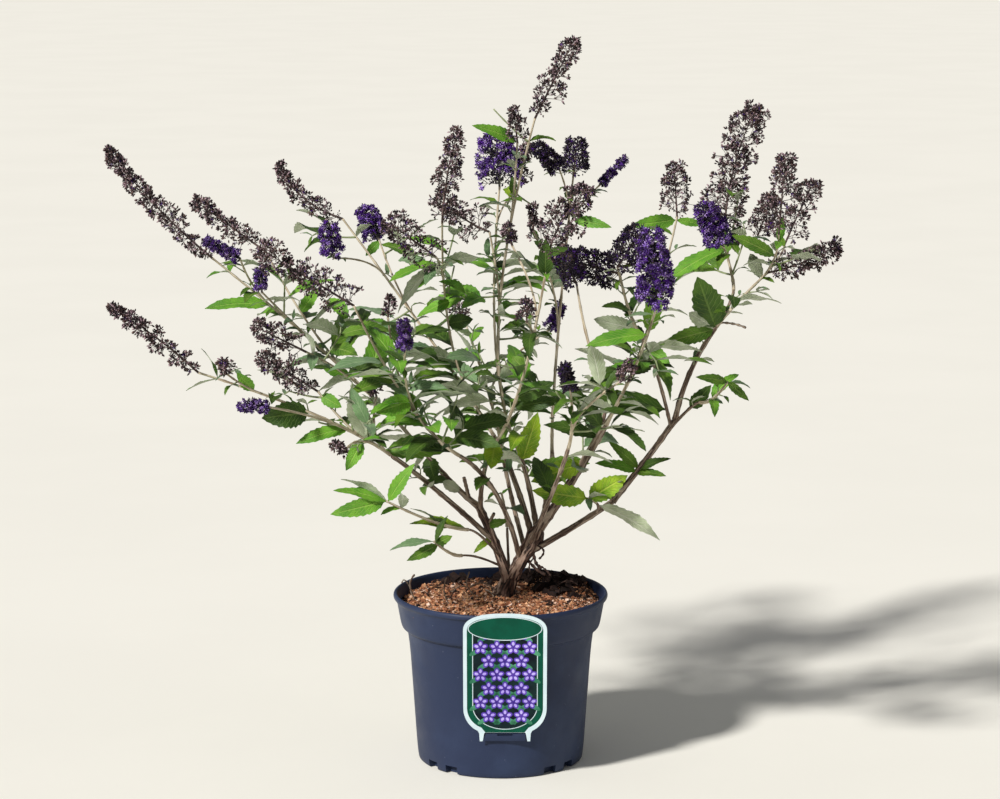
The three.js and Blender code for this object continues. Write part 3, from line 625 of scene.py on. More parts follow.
@dataclass
class PotShell:
    """The nursery pot: a tapering shell with a collar, a rolled lip, notches and a label pocket."""

    height: float = 182.0
    lip_radius: float = 115.0
    lip_depth: float = 7.0
    collar_top_radius: float = 111.5
    collar_foot_radius: float = 106.5
    collar_depth: float = 37.0
    body_top_radius: float = 98.5
    base_radius: float = 89.0
    wall: float = 1.8
    floor: float = 2.4
    sides: int = 224
    rounds: int = 2
    pocket_half_width: float = 21.5
    pocket_foot: float = 43.5
    pocket_top: float = 52.9
    slot_half_width: float = 8.0
    slot_foot: float = 49.2
    slot_top: float = 51.2
    notch_width: float = 15.0
    notch_height: float = 9.0
    notch_depth: float = 16.0
    notch_spread: float = 9.0
    notch_pairs: int = 4
    crease: float = 38.0

    def body_radius(self, height: float) -> float:
        """The outer wall's radius at a height below the collar."""
        return blend(self.base_radius, self.body_top_radius, height / (self.height - self.collar_depth))

    def outer_profile(self) -> list[Pair]:
        """Radius and height from the underside to the lip."""
        shoulder, collar_top = self.height - self.collar_depth, self.height - self.lip_depth
        middle = blend(self.collar_foot_radius, self.collar_top_radius, 0.5)
        return [
            (self.base_radius - 2.5, 0), (self.body_radius(2.5), 2.5), (self.body_radius(60), 60),
            (self.body_top_radius, shoulder - 3), (self.collar_foot_radius - 2, shoulder),
            (self.collar_foot_radius, shoulder + 2.5), (middle, shoulder + 16),
            (self.collar_top_radius, collar_top), (self.lip_radius - 0.8, collar_top + 1.2),
            (self.lip_radius, self.height - 3), (self.lip_radius - 1.2, self.height),
        ]

    def inner_profile(self) -> list[Pair]:
        """Radius and height from the lip down to the floor."""
        shoulder, collar_foot = self.height - self.collar_depth, self.collar_foot_radius - self.wall
        return [
            (self.collar_top_radius - 0.6, self.height),
            (self.collar_top_radius - self.wall, self.height - self.lip_depth),
            (collar_foot, shoulder + 3.4),
            (collar_foot - 2.4, shoulder + 1.4),
            (self.body_top_radius - self.wall, shoulder - 2.4),
            (self.body_radius(self.floor) - self.wall, self.floor),
        ]

    def block(self, name: str, low: Any, high: Any, turn: float = 0, bevel: float = 0) -> bpy.types.Object:
        """A box between two corners, turned about the vertical, with rounded edges if bevel is above 0."""
        joinery = Joinery()
        joinery.add(Surface(np.array(list(product(*zip(low, high)))) @ upright_turn(turn), [BOX_FACES]))
        obj = stood(name, joinery.mesh(name, smooth=False))
        if bevel:
            rounding = obj.modifiers.new("rounding", "BEVEL")
            rounding.width = bevel * MM
            rounding.segments = 2
        return obj

    def carve(self, body: bpy.types.Object, tools: Sequence[bpy.types.Object], operation: str) -> None:
        """Joins or cuts blocks into a body and takes the blocks away."""
        for tool in tools:
            cut = body.modifiers.new("carve", "BOOLEAN")
            cut.operation = operation
            cut.solver = "EXACT"
            cut.object = tool
        shape = bpy.data.meshes.new_from_object(body.evaluated_get(bpy.context.evaluated_depsgraph_get()))
        body.modifiers.clear()
        body.data = shape
        for tool in tools:
            bpy.data.objects.remove(tool)

    def build(self, front: float, middle: float) -> None:
        """Turns the shell, adds the pocket, and cuts the slot and the drainage notches.

        Args:
            front: How far in front of the axis the pocket's front lies.
            middle: Where the label's middle lies across the pot.
        """
        profile = np.array([(0, 0), *self.outer_profile(), *self.inner_profile(), (0, self.floor)], float)
        joinery = Joinery()
        joinery.add(turned_surface(softened(profile, self.rounds), self.sides))
        finish = Moulded("slate_plastic", (38, 48, 74), (64, 80, 112), (140, 148, 168))
        pot = joinery.piece("pot_shell", [finish], "pot_plastic", ["pot"])
        half, back = self.pocket_half_width, -self.body_radius(48) + 1.5
        pocket = self.block("pocket", (middle - half, -front, self.pocket_foot),
                            (middle + half, back, self.pocket_top), bevel=0.8)
        self.carve(pot, [pocket], "UNION")
        half = self.slot_half_width
        cuts = [self.block("slot", (middle - half, -front - 1, self.slot_foot),
                           (middle + half, -front + 1.6, self.slot_top))]
        reach = np.array([self.notch_depth, self.notch_width, 2 * self.notch_height]) / 2
        centre = np.array([self.base_radius, 0, 0])
        for pair, side in product(range(self.notch_pairs), (-1, 1)):
            turn = math.radians((pair + 0.5) * 360 / self.notch_pairs + side * self.notch_spread)
            cuts.append(self.block(f"notch_{len(cuts)}", centre - reach, centre + reach, turn))
        self.carve(pot, cuts, "DIFFERENCE")
        pot.data.polygons.foreach_set("use_smooth", np.ones(len(pot.data.polygons), bool))
        pot.data.set_sharp_from_angle(angle=math.radians(self.crease))


# ---------------- the label


@dataclass
class LabelPlate:
    """The card that leans on the pot's front: an arched plate with a plain print of blooms and leaves."""

    pot: PotShell
    middle: float = 4.6
    foot: float = 43.5
    top: float = 186.0
    half_width: float = 43.5
    arch_height: float = 20.0
    shoulder: float = 2.5
    corner_top: float = 38.0
    corner_reach: float = 24.0
    corner_drop: float = 28.0
    panel_drop: float = 36.0
    tab_half_width: float = 27.0
    tab_width: float = 5.2
    tab_length: float = 9.0
    thickness: float = 0.9
    ink: float = 0.05
    border: float = 3.9
    band: float = 5.6
    line: float = 0.8
    arc_points: int = 40
    bloom_step: float = 17.0
    bloom_rise: float = 15.5
    petal_reach: float = 4.3

    def standoff(self, height: float) -> float:
        """How far in front of the axis the card's back lies at a height."""
        share = (height - self.foot) / (self.pot.height - 3 - self.foot)
        return blend(self.pot.body_radius(self.foot) + 3, self.pot.lip_radius + CLEARANCE, share)

    @property
    def lean(self) -> float:
        """The card's lean from the vertical."""
        return math.atan2(self.standoff(self.top) - self.standoff(self.foot), self.top - self.foot)

    @property
    def height(self) -> float:
        """The card's height in its own plane."""
        return (self.top - self.foot) / math.cos(self.lean)

    def placed(self, surface: Surface) -> Surface:
        """Carries a surface from the card's own plane (across, up, out) to the pot's front."""
        cosine, sine = math.cos(self.lean), math.sin(self.lean)
        across, up, out = surface.points.T
        back = -self.standoff(self.foot) - up * sine - out * cosine
        surface.points = np.stack([self.middle + across, back, self.foot + up * cosine - out * sine], axis=1)
        surface.faces = [faces[:, ::-1] for faces in surface.faces]
        return surface

    def arch(self, inset: float) -> list[Pair]:
        """The top from right to left, a distance inside the edge: an ellipse with squarer shoulders."""
        half, rise = self.half_width - inset, self.arch_height - inset
        level = self.height - self.arch_height
        power = 2 / self.shoulder
        return [(math.copysign(abs(math.cos(a)) ** power, math.cos(a)) * half,
                 level + rise * math.sin(a) ** power) for a in np.linspace(0, math.pi, self.arc_points)]

    def sides(self, foot: Sequence[Pair], inset: float) -> list[Pair]:
        """An outline's run up its right side, over the arch, and down its left, inside the card's edge.

        Args:
            foot: The points of the right side below its rounded lower corner.
            inset: How far inside the edge the outline lies.

        Returns:
            The points, counter-clockwise.
        """
        reach, drop = self.corner_reach, self.corner_drop - inset
        corner = [(self.half_width - inset - reach * (1 - math.cos(a)), self.corner_top - drop * math.sin(a))
                  for a in np.radians(np.linspace(68, 0, 12))]
        right = [*foot, *corner]
        return [*right, *self.arch(inset), *((-x, y) for x, y in reversed(right))]

    def card_outline(self) -> Array:
        """The whole card with its two tabs, counter-clockwise."""
        tab, inner, rise = self.tab_half_width, self.tab_half_width - self.tab_width, self.tab_length
        foot = [(inner + 1.6, 0), (tab - 0.6, 0), (tab, rise)]
        notch = [(-inner, rise), (-inner + 1, rise + 1), (inner - 1, rise + 1), (inner, rise)]
        return np.array([*self.sides(foot, 0), *notch])

    def band_outline(self) -> Array:
        """The coloured band's outline: inside the card's border, and open to the card's foot."""
        foot = (self.tab_half_width - self.tab_width - 1.2, self.tab_length + 1.2)
        return np.array(self.sides([foot], self.border))

    def panel_outline(self, inset: float) -> Array:
        """The picture's outline: straight sides over a half ellipse, a distance inside the edge."""
        half, drop = self.half_width - inset, self.panel_drop - inset
        foot = [(half * math.cos(a), self.corner_top + 2 + drop * math.sin(a))
                for a in np.linspace(math.pi, FULL_TURN, 30)]
        return np.array([*foot, *self.arch(inset)])

    def ellipse(self, centre: Pair, radii: Pair, turn: float, count: int) -> Array:
        """Points round an ellipse whose long way is turned by an angle."""
        angles = FULL_TURN * np.arange(count) / count
        x, y = radii[0] * np.cos(angles), radii[1] * np.sin(angles)
        return np.stack([
            centre[0] + x * math.cos(turn) - y * math.sin(turn),
            centre[1] + x * math.sin(turn) + y * math.cos(turn),
        ], axis=1)

    def build(self) -> None:
        """Makes the card and lays its print on it, one thin layer over the other."""
        inks = {
            "card_white": ((216, 234, 240), (206, 226, 234)),
            "ink_green": ((4, 82, 62), (4, 72, 54)),
            "ink_night": ((12, 20, 32), (18, 42, 42)),
            "ink_violet": ((104, 74, 192), (78, 52, 160)),
            "ink_lilac": ((198, 184, 246), (170, 150, 232)),
            "ink_leaf": ((84, 156, 120), (48, 112, 84)),
        }
        finishes = [Mottled(name, first, second, 60, 900, 0.36, 0.00002, 0, 0.12)
                    for name, (first, second) in inks.items()]
        joinery = Joinery()
        joinery.add(self.placed(flat_plate(self.card_outline(), 0, self.thickness)))

        def lay(outline: Array, ink: str, layer: int) -> None:
            """Lays one flat colour on the card at a layer's height."""
            low = self.thickness + (layer - 1) * self.ink
            plate = flat_plate(outline, low, low + self.ink)
            joinery.add(self.placed(plate), list(inks).index(ink))

        panel = self.border + self.band
        lay(self.band_outline(), "ink_green", 1)
        lay(self.panel_outline(panel), "card_white", 2)
        lay(self.panel_outline(panel + self.line), "ink_night", 3)
        self.lay_print(lay)
        for radii, ink, layer in (((38.6, 13.2), "card_white", 7), ((37.7, 12.3), "ink_green", 8)):
            lay(self.ellipse((0.0, self.height - 16.6), radii, 0, 72), ink, layer)
        joinery.piece("label_card", finishes, "label", ["label_plate"], smooth=False)

    def lay_print(self, lay: Callable[[Array, str, int], None]) -> None:
        """Lays rows of five-petalled blooms over pairs of leaves, each row half a step on."""
        half = self.half_width - self.border - self.band - self.line
        for row, column in product(range(7), range(-2, 3)):
            x = (column + 0.5 * (row % 2)) * self.bloom_step
            y = self.tab_length + 20 + row * self.bloom_rise
            if abs(x) > half - 6 or abs(x) > half * 0.7 and row == 0:
                continue
            for side in (-1, 1):
                lay(self.ellipse((x + side * 6.2, y - 5.8), (6.2, 2.5), -side * 0.55, 16), "ink_leaf", 4)
            for petal in range(5):
                turn = QUARTER_TURN + FULL_TURN * petal / 5
                centre = (x + self.petal_reach * math.cos(turn), y + self.petal_reach * math.sin(turn))
                lay(self.ellipse(centre, (3.9, 2.8), turn, 14), "ink_violet", 5)
                lay(self.ellipse(centre, (2.2, 1.5), turn, 10), "ink_lilac", 6)


# ---------------- the soil


@dataclass
class SoilBed:
    """The potting mix: a heaped bed with crumbs, fibres and slivers of bark."""

    top: float = 173.0
    edge: float = 167.0
    flat_radius: float = 38.0
    radius: float = 108.0
    bump: float = 1.1
    sides: int = 180
    rings: int = 90
    lump: float = 1.9
    bank: float = 5.0
    mound: float = 9.0
    mound_place: Pair = (74, 52)
    hollow: float = 9.0
    crumbs: int = 12500
    fibres: int = 6400
    slivers: int = 380
    rng: Random = field(default_factory=lambda: np.random.default_rng(SEED))

    def heap(self, x: Array, y: Array) -> Array:
        """The bed's height: a flat middle, a fall to the edge, waves, a mound behind, and lumps by noise."""
        radius, angle = np.hypot(x, y), np.arctan2(y, x)
        heights = [self.top, self.top - 1.4, self.edge + 2.6, self.edge]
        line = np.interp(radius, [self.flat_radius, 64, 88, self.radius], heights)
        wave = np.sin(5 * angle + radius / 30) + np.sin(8 * angle - radius / 30)
        share = smooth_step(radius, self.flat_radius, 80)
        places = np.stack([x / 17, y / 17, np.zeros_like(x)], axis=-1)
        fade = 1 - smooth_step(radius, 98, self.radius)
        behind = smooth_step(y, 10, 70)
        away = (x - self.mound_place[0]) ** 2 + (y - self.mound_place[1]) ** 2
        line = line + self.bank * behind + self.mound * np.exp(-away / 1100)
        lumps = self.lump * fade * rough_noise(places, 4, 5) * (1 + 0.9 * behind)
        return line + self.bump * wave * share * 0.6 + lumps

    def build_bed(self, pot: PotShell) -> None:
        """Turns the bed: its underside, its side a clearance inside the pot, and its heaped top."""
        side = [(r - CLEARANCE - 0.1, z) for r, z in reversed(pot.inner_profile()) if z < self.edge]
        wall, floor = side[0][0], pot.floor + CLEARANCE
        rim = pot.collar_top_radius - pot.wall - 1.6
        foot = [(0, floor), (wall - self.hollow, floor), (wall - self.hollow, 12), (wall, 20)]
        top = [(r, self.edge + 3) for r in np.linspace(rim, 0.8, self.rings)]
        profile = np.array([*foot, *side[1:], (rim, self.edge - 4), *top, (0, self.top)])
        surface = turned_surface(profile, self.sides)
        x, y, z = surface.points.T
        on_top = z > self.edge - 2
        surface.points[on_top, 2] = self.heap(x[on_top], y[on_top])
        joinery = Joinery()
        joinery.add(surface)
        finish = Mottled("potting_mix", (118, 76, 54), (58, 36, 27), 160, 480, 0.95, 0.0012)
        joinery.piece("soil_bed", [finish], "soil", ["soil"])

    def chip(self) -> Surface:
        """A small irregular block: a cube's corners moved at random."""
        corners = np.array(list(product((-0.5, 0.5), repeat=3))) + self.rng.uniform(-0.17, 0.17, (8, 3))
        return Surface(corners, [BOX_FACES])

    def strewn(self, chip: Surface, x: Array, y: Array, lift: Any, axes: Array, spins: Array,
               sizes: Array) -> Surface:
        """Copies of a chip on the bed at some places, lifted above it, by their long way, spin and sizes."""
        centres = np.stack([x, y, self.heap(x, y) + lift], axis=1)
        return scattered(chip, centres, frames_about(axes, spins), sizes)

    def spread(self, count: int, keep_out: float = 14.0) -> tuple[Array, Array]:
        """Random places on the bed, evenly over its area, and clear of the trunk's foot."""
        radius = self.radius * np.sqrt(self.rng.uniform(0, 1, count))
        angle = self.rng.uniform(0, FULL_TURN, count)
        x, y = radius * np.cos(angle), radius * np.sin(angle)
        clear = np.hypot(x - TRUNK_FOOT[0], y - TRUNK_FOOT[1]) > keep_out
        return x[clear], y[clear]

    def thinned_for_dark_soil_and_painted_shade(self, x: Array, y: Array, dark: bool) -> tuple[Array, Array]:
        """Leaves out crumbs so that dark ones gather behind the trunk and bright ones lie in front: partly
        darker soil, and partly a painted shadow of the crown behind and painted sunlight in front.
        """
        front = smooth_step(-y - 0.25 * x, -75, 20)
        keep = self.rng.uniform(0, 1, len(x)) < (1.15 - 0.75 * front if dark else 0.22 + 0.83 * front)
        return x[keep], y[keep]

    def crumb_layer(self, count: int, dark: bool) -> Surface:
        """One layer of crumbs, mostly small."""
        x, y = self.thinned_for_dark_soil_and_painted_shade(*self.spread(count), dark)
        size = 0.6 + 2.4 * self.rng.uniform(0, 1, len(x)) ** 4
        sizes = size[:, None] * self.rng.uniform(0.3, 1.6, (len(x), 3))
        axes = unit(self.rng.normal(0, 1, (len(x), 3)) + [0, 0, 0.8])
        return self.strewn(self.chip(), x, y, sizes[:, 2] * 0.25, axes, x, sizes)

    def straws(self, count: int, length: float, width: float) -> Surface:
        """Straws of a mean length and a width that lie nearly level, all inside the pot."""
        x, y = self.spread(count, 22)
        heading = self.rng.uniform(0, FULL_TURN, len(x))
        tilt = self.rng.uniform(-0.12, 0.3, len(x))
        level = np.cos(tilt)
        axes = np.stack([np.cos(heading) * level, np.sin(heading) * level, np.sin(tilt)], axis=1)
        long = length * self.rng.uniform(0.4, 1.2, len(x))
        inside = np.hypot(x, y) < 106 - long
        x, y, axes, long = x[inside], y[inside], axes[inside], long[inside]
        sizes = np.outer(long, [0, 0, 1]) + [width, width * 0.5, 0]
        return self.strewn(self.chip(), x, y, 0.9, axes, np.zeros(len(x)), sizes)

    def clods(self) -> Surface:
        """Dark clods heaped behind the trunk, mostly on the right: real lumps whose dark colour is partly
        the soil's own and partly a painted shadow of the crown.
        """
        heaps = ((72, 18, 50, 20, 210), (28, 30, 72, 12, 60), (-52, 26, 66, 14, 40))
        x = np.concatenate([self.rng.normal(middle, spread, count) for middle, spread, _, _, count in heaps])
        y = np.concatenate([self.rng.normal(middle, spread, count) for _, _, middle, spread, count in heaps])
        inside = np.hypot(x, y) < 99
        x, y = x[inside], y[inside]
        size = 2.5 + 8.5 * self.rng.uniform(0, 1, len(x)) ** 2
        sizes = size[:, None] * self.rng.uniform(0.6, 1.2, (len(x), 3))
        lift = size * self.rng.uniform(0.0, 0.45, len(x))
        chip = self.chip()
        return self.strewn(chip, x, y, lift, unit(self.rng.normal(0, 1, (len(x), 3))), x, sizes)

    def build_litter(self) -> None:
        """Strews crumbs, fibres and slivers of four colours over the bed."""
        tones = {
            "russet": ((190, 128, 92), (138, 86, 60), 0.38),
            # The dark crumbs gather behind the trunk: partly darker soil, and partly a painted shadow of the
            # crown.
            "dark": ((48, 31, 26), (28, 18, 16), 0.28),
            "tan": ((220, 172, 132), (184, 132, 94), 0.24),
            "straw": ((238, 208, 188), (206, 170, 148), 0.10),
        }
        for tone, (colour, second, share) in tones.items():
            joinery = Joinery()
            dark = tone == "dark"
            for _ in range(4):
                joinery.add(self.crumb_layer(int(self.crumbs * share / 4), dark))
            for count, length, width in ((self.fibres, 6.5, 0.5), (self.slivers, 11.0, 1.5)):
                joinery.add(self.straws(int(count * share), length, width))
            if dark:
                joinery.add(self.clods())
            finish = Mottled(f"mix_{tone}", colour, second, 220, 1400, 0.92, 0.0004)
            joinery.piece(f"soil_crumbs_{tone}", [finish], "soil", [], smooth=False)


# ---------------- limbs and shoots


TRUNK_FOOT = (5.0, 20.0)
GROUND = 173.3


@dataclass(frozen=True)
class Limb:
    """A tapering limb that leaves its parent at a fraction of its length and passes its middle."""

    name: str
    parent: str | None
    at: float
    middle: Triple
    tip: Triple
    radii: Pair


LIMBS = (
    Limb("trunk", None, 0, (7, 14, 184), (13, 12, 197), (9.5, 8)),
    Limb("left_arm", "trunk", 0.5, (0, 8, 217), (-24, 5, 275), (5.6, 4)),
    Limb("right_arm", "trunk", 0.98, (24, 8, 218), (42, 8, 251), (6.6, 6)),
    Limb("low_left", "left_arm", 0.55, (-66, -22, 295), (-115, -45, 339), (3, 2.3)),
    Limb("high_left", "left_arm", 0.98, (-49, 15, 294), (-82, 25, 329), (3.2, 2.3)),
    Limb("front_mid", "left_arm", 0.93, (-17, -26, 318), (-2, -60, 360), (2.6, 2)),
    Limb("front_left", "right_arm", 0.3, (-4, -45, 296), (-43, -90, 347), (2.8, 2.1)),
    Limb("back_left", "right_arm", 0.75, (15, 45, 294), (-7, 85, 335), (3.2, 2.5)),
    Limb("back_mid", "right_arm", 0.9, (29, 40, 295), (17, 62, 329), (3, 2.3)),
    Limb("back_right", "right_arm", 0.95, (53, 60, 280), (57, 120, 311), (3, 2.3)),
    Limb("back_low", "right_arm", 0.5, (12, 80, 268), (0, 140, 318), (2.6, 2)),
    Limb("front_right", "right_arm", 0.6, (54, -70, 304), (69, -130, 362), (2.6, 2)),
    Limb("right_mid", "right_arm", 0.98, (72, 0, 296), (111, -20, 367), (5.2, 3.6)),
    Limb("right_low", "right_arm", 0.42, (79, 0, 253), (121, 0, 281), (3.4, 3)),
    Limb("right_far", "right_low", 0.98, (157, 5, 327), (187, 5, 370), (3.3, 3)),
    Limb("right_tall", "right_far", 0.98, (201, 5, 419), (228, 0, 468), (2.9, 2.2)),
    Limb("right_cross", "right_far", 0.9, (162, -40, 428), (145, -60, 467), (1.9, 1.6)),
    Limb("right_side", "right_far", 0.78, (197, -20, 382), (209, -35, 393), (1.8, 1.5)),
    Limb("right_back", "right_tall", 0.9, (241, 25, 484), (249, 45, 501), (1.9, 1.6)),
    Limb("right_inner", "right_mid", 0.85, (112, 15, 382), (107, 30, 410), (2.2, 1.8)),
    Limb("elbow_twig", "right_low", 0.8, (104, -12, 276), (101, -20, 283), (1.7, 1.4)),
    Limb("low_twig", "left_arm", 0.35, (-20, -30, 248), (-34, -50, 260), (1.5, 1.2)),
    Limb("foot_twig", "left_arm", 0.22, (-22, -20, 223), (-41, -45, 231), (1.3, 1.1)),
    Limb("sucker", "trunk", 0.7, (8, 27, 222), (7, 30, 246), (1.6, 1.3)),
)


class Bloom(Enum):
    """The state of a plume of blossom."""

    SPENT = "spent"
    VIOLET = "violet"
    DARK = "dark"


SPENT, VIOLET, DARK = Bloom


@dataclass(frozen=True)
class Plan:
    """A shoot by its tip, the parent shoot it starts on, and the plume that stands on its tip.

    The bow is how far the plume's middle stands off its straight line, across and up.
    """

    tip: Triple
    plume: Triple | None = None
    girth: float = 0.0
    on: int | None = None
    at: float = 1.0
    bloom: Bloom = SPENT
    bow: Pair = (0, 0)

    def spine(self, share: Array) -> Array:
        """Points on the plume's axis at shares of the way: its straight line plus the bow's parabola."""
        start, end = np.array([self.tip, self.plume], float)
        lift = np.array([self.bow[0], 0.0, self.bow[1]])
        return start + np.outer(share, end - start) + np.outer(4 * share * (1 - share), lift)


MASSES: dict[str, tuple[Plan, ...]] = {
    "low_left": (
        Plan((-309, -100, 435), (-396, -110, 504), 18, bow=(1, 3)),
        Plan((-234, -150, 408), (-260, -170, 413), 14, 0, 0.25, VIOLET),
        Plan((-190, -50, 407), (-249, -40, 443), 26, 0, 0.2),
        Plan((-159, -130, 358), (-169, -140, 368), 9, 0, 0.1),
        Plan((-132, 10, 392), (-137, 15, 411), 12, 0, 0.03),
        Plan((-278, -125, 438), (-280, -130, 451), 14, 0, 0.75),
    ),
    "high_left": (
        Plan((-307, 40, 536), (-419, 60, 651), 20, bow=(-2, -5)),
        Plan((-256, 120, 533), (-337, 150, 587), 24, 0, 0.42),
        Plan((-272, -20, 543), (-306, -30, 562), 15, 0, 0.78, VIOLET),
        Plan((-201, -70, 452), (-251, -100, 483), 27, 0, 0.3),
        Plan((-248, -40, 510), (-249, -45, 536), 14, 0, 0.55, VIOLET),
    ),
    "front_left": (
        Plan((-147, -150, 511), (-236, -170, 569), 34),
        Plan((-94, -200, 474), (-95, -215, 504), 15, 0, 0.35, VIOLET),
        Plan((-115, -95, 491), (-113, -90, 511), 10, 0, 0.45),
    ),
    "front_mid": (
        Plan((48, -140, 560), (86, -150, 627), 44, bow=(-7, 0)),
        Plan((26, -170, 497), (26, -175, 520), 15, 0, 0.62),
        Plan((12, -80, 563), (6, -75, 583), 12, 0, 0.72),
    ),
    "back_left": (
        Plan((-176, 190, 562), (-247, 210, 621), 22, bow=(-10, -6)),
        Plan((-138, 240, 534), (-154, 255, 564), 32, 0, 0.62, VIOLET),
        Plan((-183, 130, 525), (-188, 120, 562), 27, 0, 0.8, VIOLET),
        Plan((-62, 40, 574), (-45, 40, 672), 25, 0, 0.2, bow=(-3, 0)),
        Plan((-68, -20, 545), (-114, -50, 583), 36, 3, 0.7),
    ),
    "back_mid": (
        Plan((37, 90, 681), (79, 90, 766), 24),
        Plan((-12, 112, 556), (-69, 120, 593), 30, 0, 0.5, bow=(0, -4)),
        Plan((18, 70, 657), (14, 60, 692), 18, 0, 0.72),
        Plan((-1, 170, 600), (-5, 180, 652), 52, 0, 0.12, VIOLET),
        Plan((20, 215, 594), (29, 225, 640), 20, 3, 0.85),
    ),
    "back_right": (
        Plan((82, 232, 606), (86, 240, 641), 32, bloom=DARK),
        Plan((113, 270, 592), (143, 280, 622), 11, 0, 0.85, VIOLET),
        Plan((66, 205, 615), (40, 190, 643), 18, 0, 0.9, DARK),
        Plan((36, 150, 554), (36, 145, 581), 10, 0, 0.55),
    ),
    "back_low": (
        Plan((-40, 225, 440), (-58, 240, 476), 18), Plan((55, 235, 430), (70, 245, 458), 16, 0, 0.4, VIOLET),
    ),
    "front_right": (
        Plan((68, -225, 438), (62, -236, 462), 11, None, 1, DARK),
        Plan((117, -250, 451), (126, -265, 470), 10, 0, 0.3),
    ),
    "right_mid": (
        Plan((154, -192, 517), (147, -213, 588), 40, None, 1, VIOLET),
        Plan((192, 112, 572), (190, 140, 624), 36, 0, 0.25),
    ),
    "right_inner": (Plan((82, 70, 504), (64, 60, 542), 26, None, 1, DARK),),
    "right_cross": (
        Plan((122, -85, 535), (72, -95, 550), 36, None, 1, DARK),
        Plan((118, -120, 546), (139, -130, 582), 32, 0, 0.6, DARK),
    ),
    "right_side": (Plan((234, -80, 422)),),
    "right_tall": (
        Plan((279, -20, 528), (350, -40, 560), 30, bow=(0, -4)),
        Plan((283, -90, 576), (287, -110, 656), 34, 0, 0.85),
        Plan((305, 60, 550), (334, 80, 611), 30, 0, 0.9),
    ),
    "right_back": (
        Plan((241, 70, 543), (275, 90, 694), 46, bow=(-10, 0)),
        Plan((230, -12, 557), (214, -28, 596), 32, 0, 0.6, VIOLET),
        Plan((281, 140, 544), (299, 160, 590), 26, 0, 0.75),
    ),
    "elbow_twig": (
        Plan((92, -34, 290)), Plan((128, -38, 300), None, 0, 0, 0.3),
    ),
    "low_twig": (Plan((-118, -100, 301)),),
    "foot_twig": (Plan((-69, -85, 255)),),
    "sucker": (Plan((1, 24, 284)),),
}
MASS_NODES = [f"{name}_foliage" for name in MASSES]


@dataclass
class Capsules:
    """Straight stretches with a radius, for measuring how near a point is to them."""

    starts: Array
    ends: Array
    radii: Array

    @classmethod
    def along(cls, bend: Bend, foot: float, tip: float, count: int = 8) -> "Capsules":
        """Capsules along a curve whose radius tapers."""
        points = bend.station(np.arange(count + 1) / count)
        return cls(points[:-1], points[1:], blend(foot, tip, np.arange(count) / count))

    @classmethod
    def joined(cls, parts: Sequence["Capsules"]) -> "Capsules":
        """Several sets as one."""
        rows = ((part.starts, part.ends, part.radii) for part in parts)
        return cls(*(np.concatenate(column) for column in zip(*rows)))

    def nearest(self, points: Array) -> Array:
        """The distance from each point to the nearest capsule's side."""
        line = self.ends - self.starts
        offset = points[:, None] - self.starts
        share = np.sum(offset * line, axis=-1) / np.maximum(np.sum(line * line, axis=-1), 1e-9)
        away = offset - np.clip(share, 0, 1)[..., None] * line
        return np.min(np.linalg.norm(away, axis=-1) - self.radii, axis=1)


@dataclass
class Shoot:
    """A grown shoot or twig: its curve, its radii, and its plume if it has one."""

    bend: Bend
    foot: float
    tip: float
    plan: Plan | None = None

    def radius(self, share: Any) -> Any:
        """The radius at a share of the way."""
        return blend(self.foot, self.tip, share)


@dataclass
class Mass:
    """One mass of foliage: its leading shoots and the capsules that mark out its space."""

    name: str
    shoots: list[Shoot]
    capsules: Capsules


class Tint(Enum):
    """The leaf colours that are dealt out by spray."""

    DEEP = "deep"
    MID = "mid"
    FRESH = "fresh"
    # This tint is a brighter yellow-green that paints sunlight shining through the leaves.
    GOLD = "gold"
    YOUNG = "young"


@dataclass(frozen=True)
class MarkedLeaf:
    """A leaf that stands out: its shoot (None for the limb), where it leaves it, its tip and its breadth."""

    mass: str
    shoot: int | None
    at: float
    tip: Triple
    breadth: float
    tint: Tint
    face: int = 1


DEEP, MID, FRESH, GOLD, YOUNG = Tint
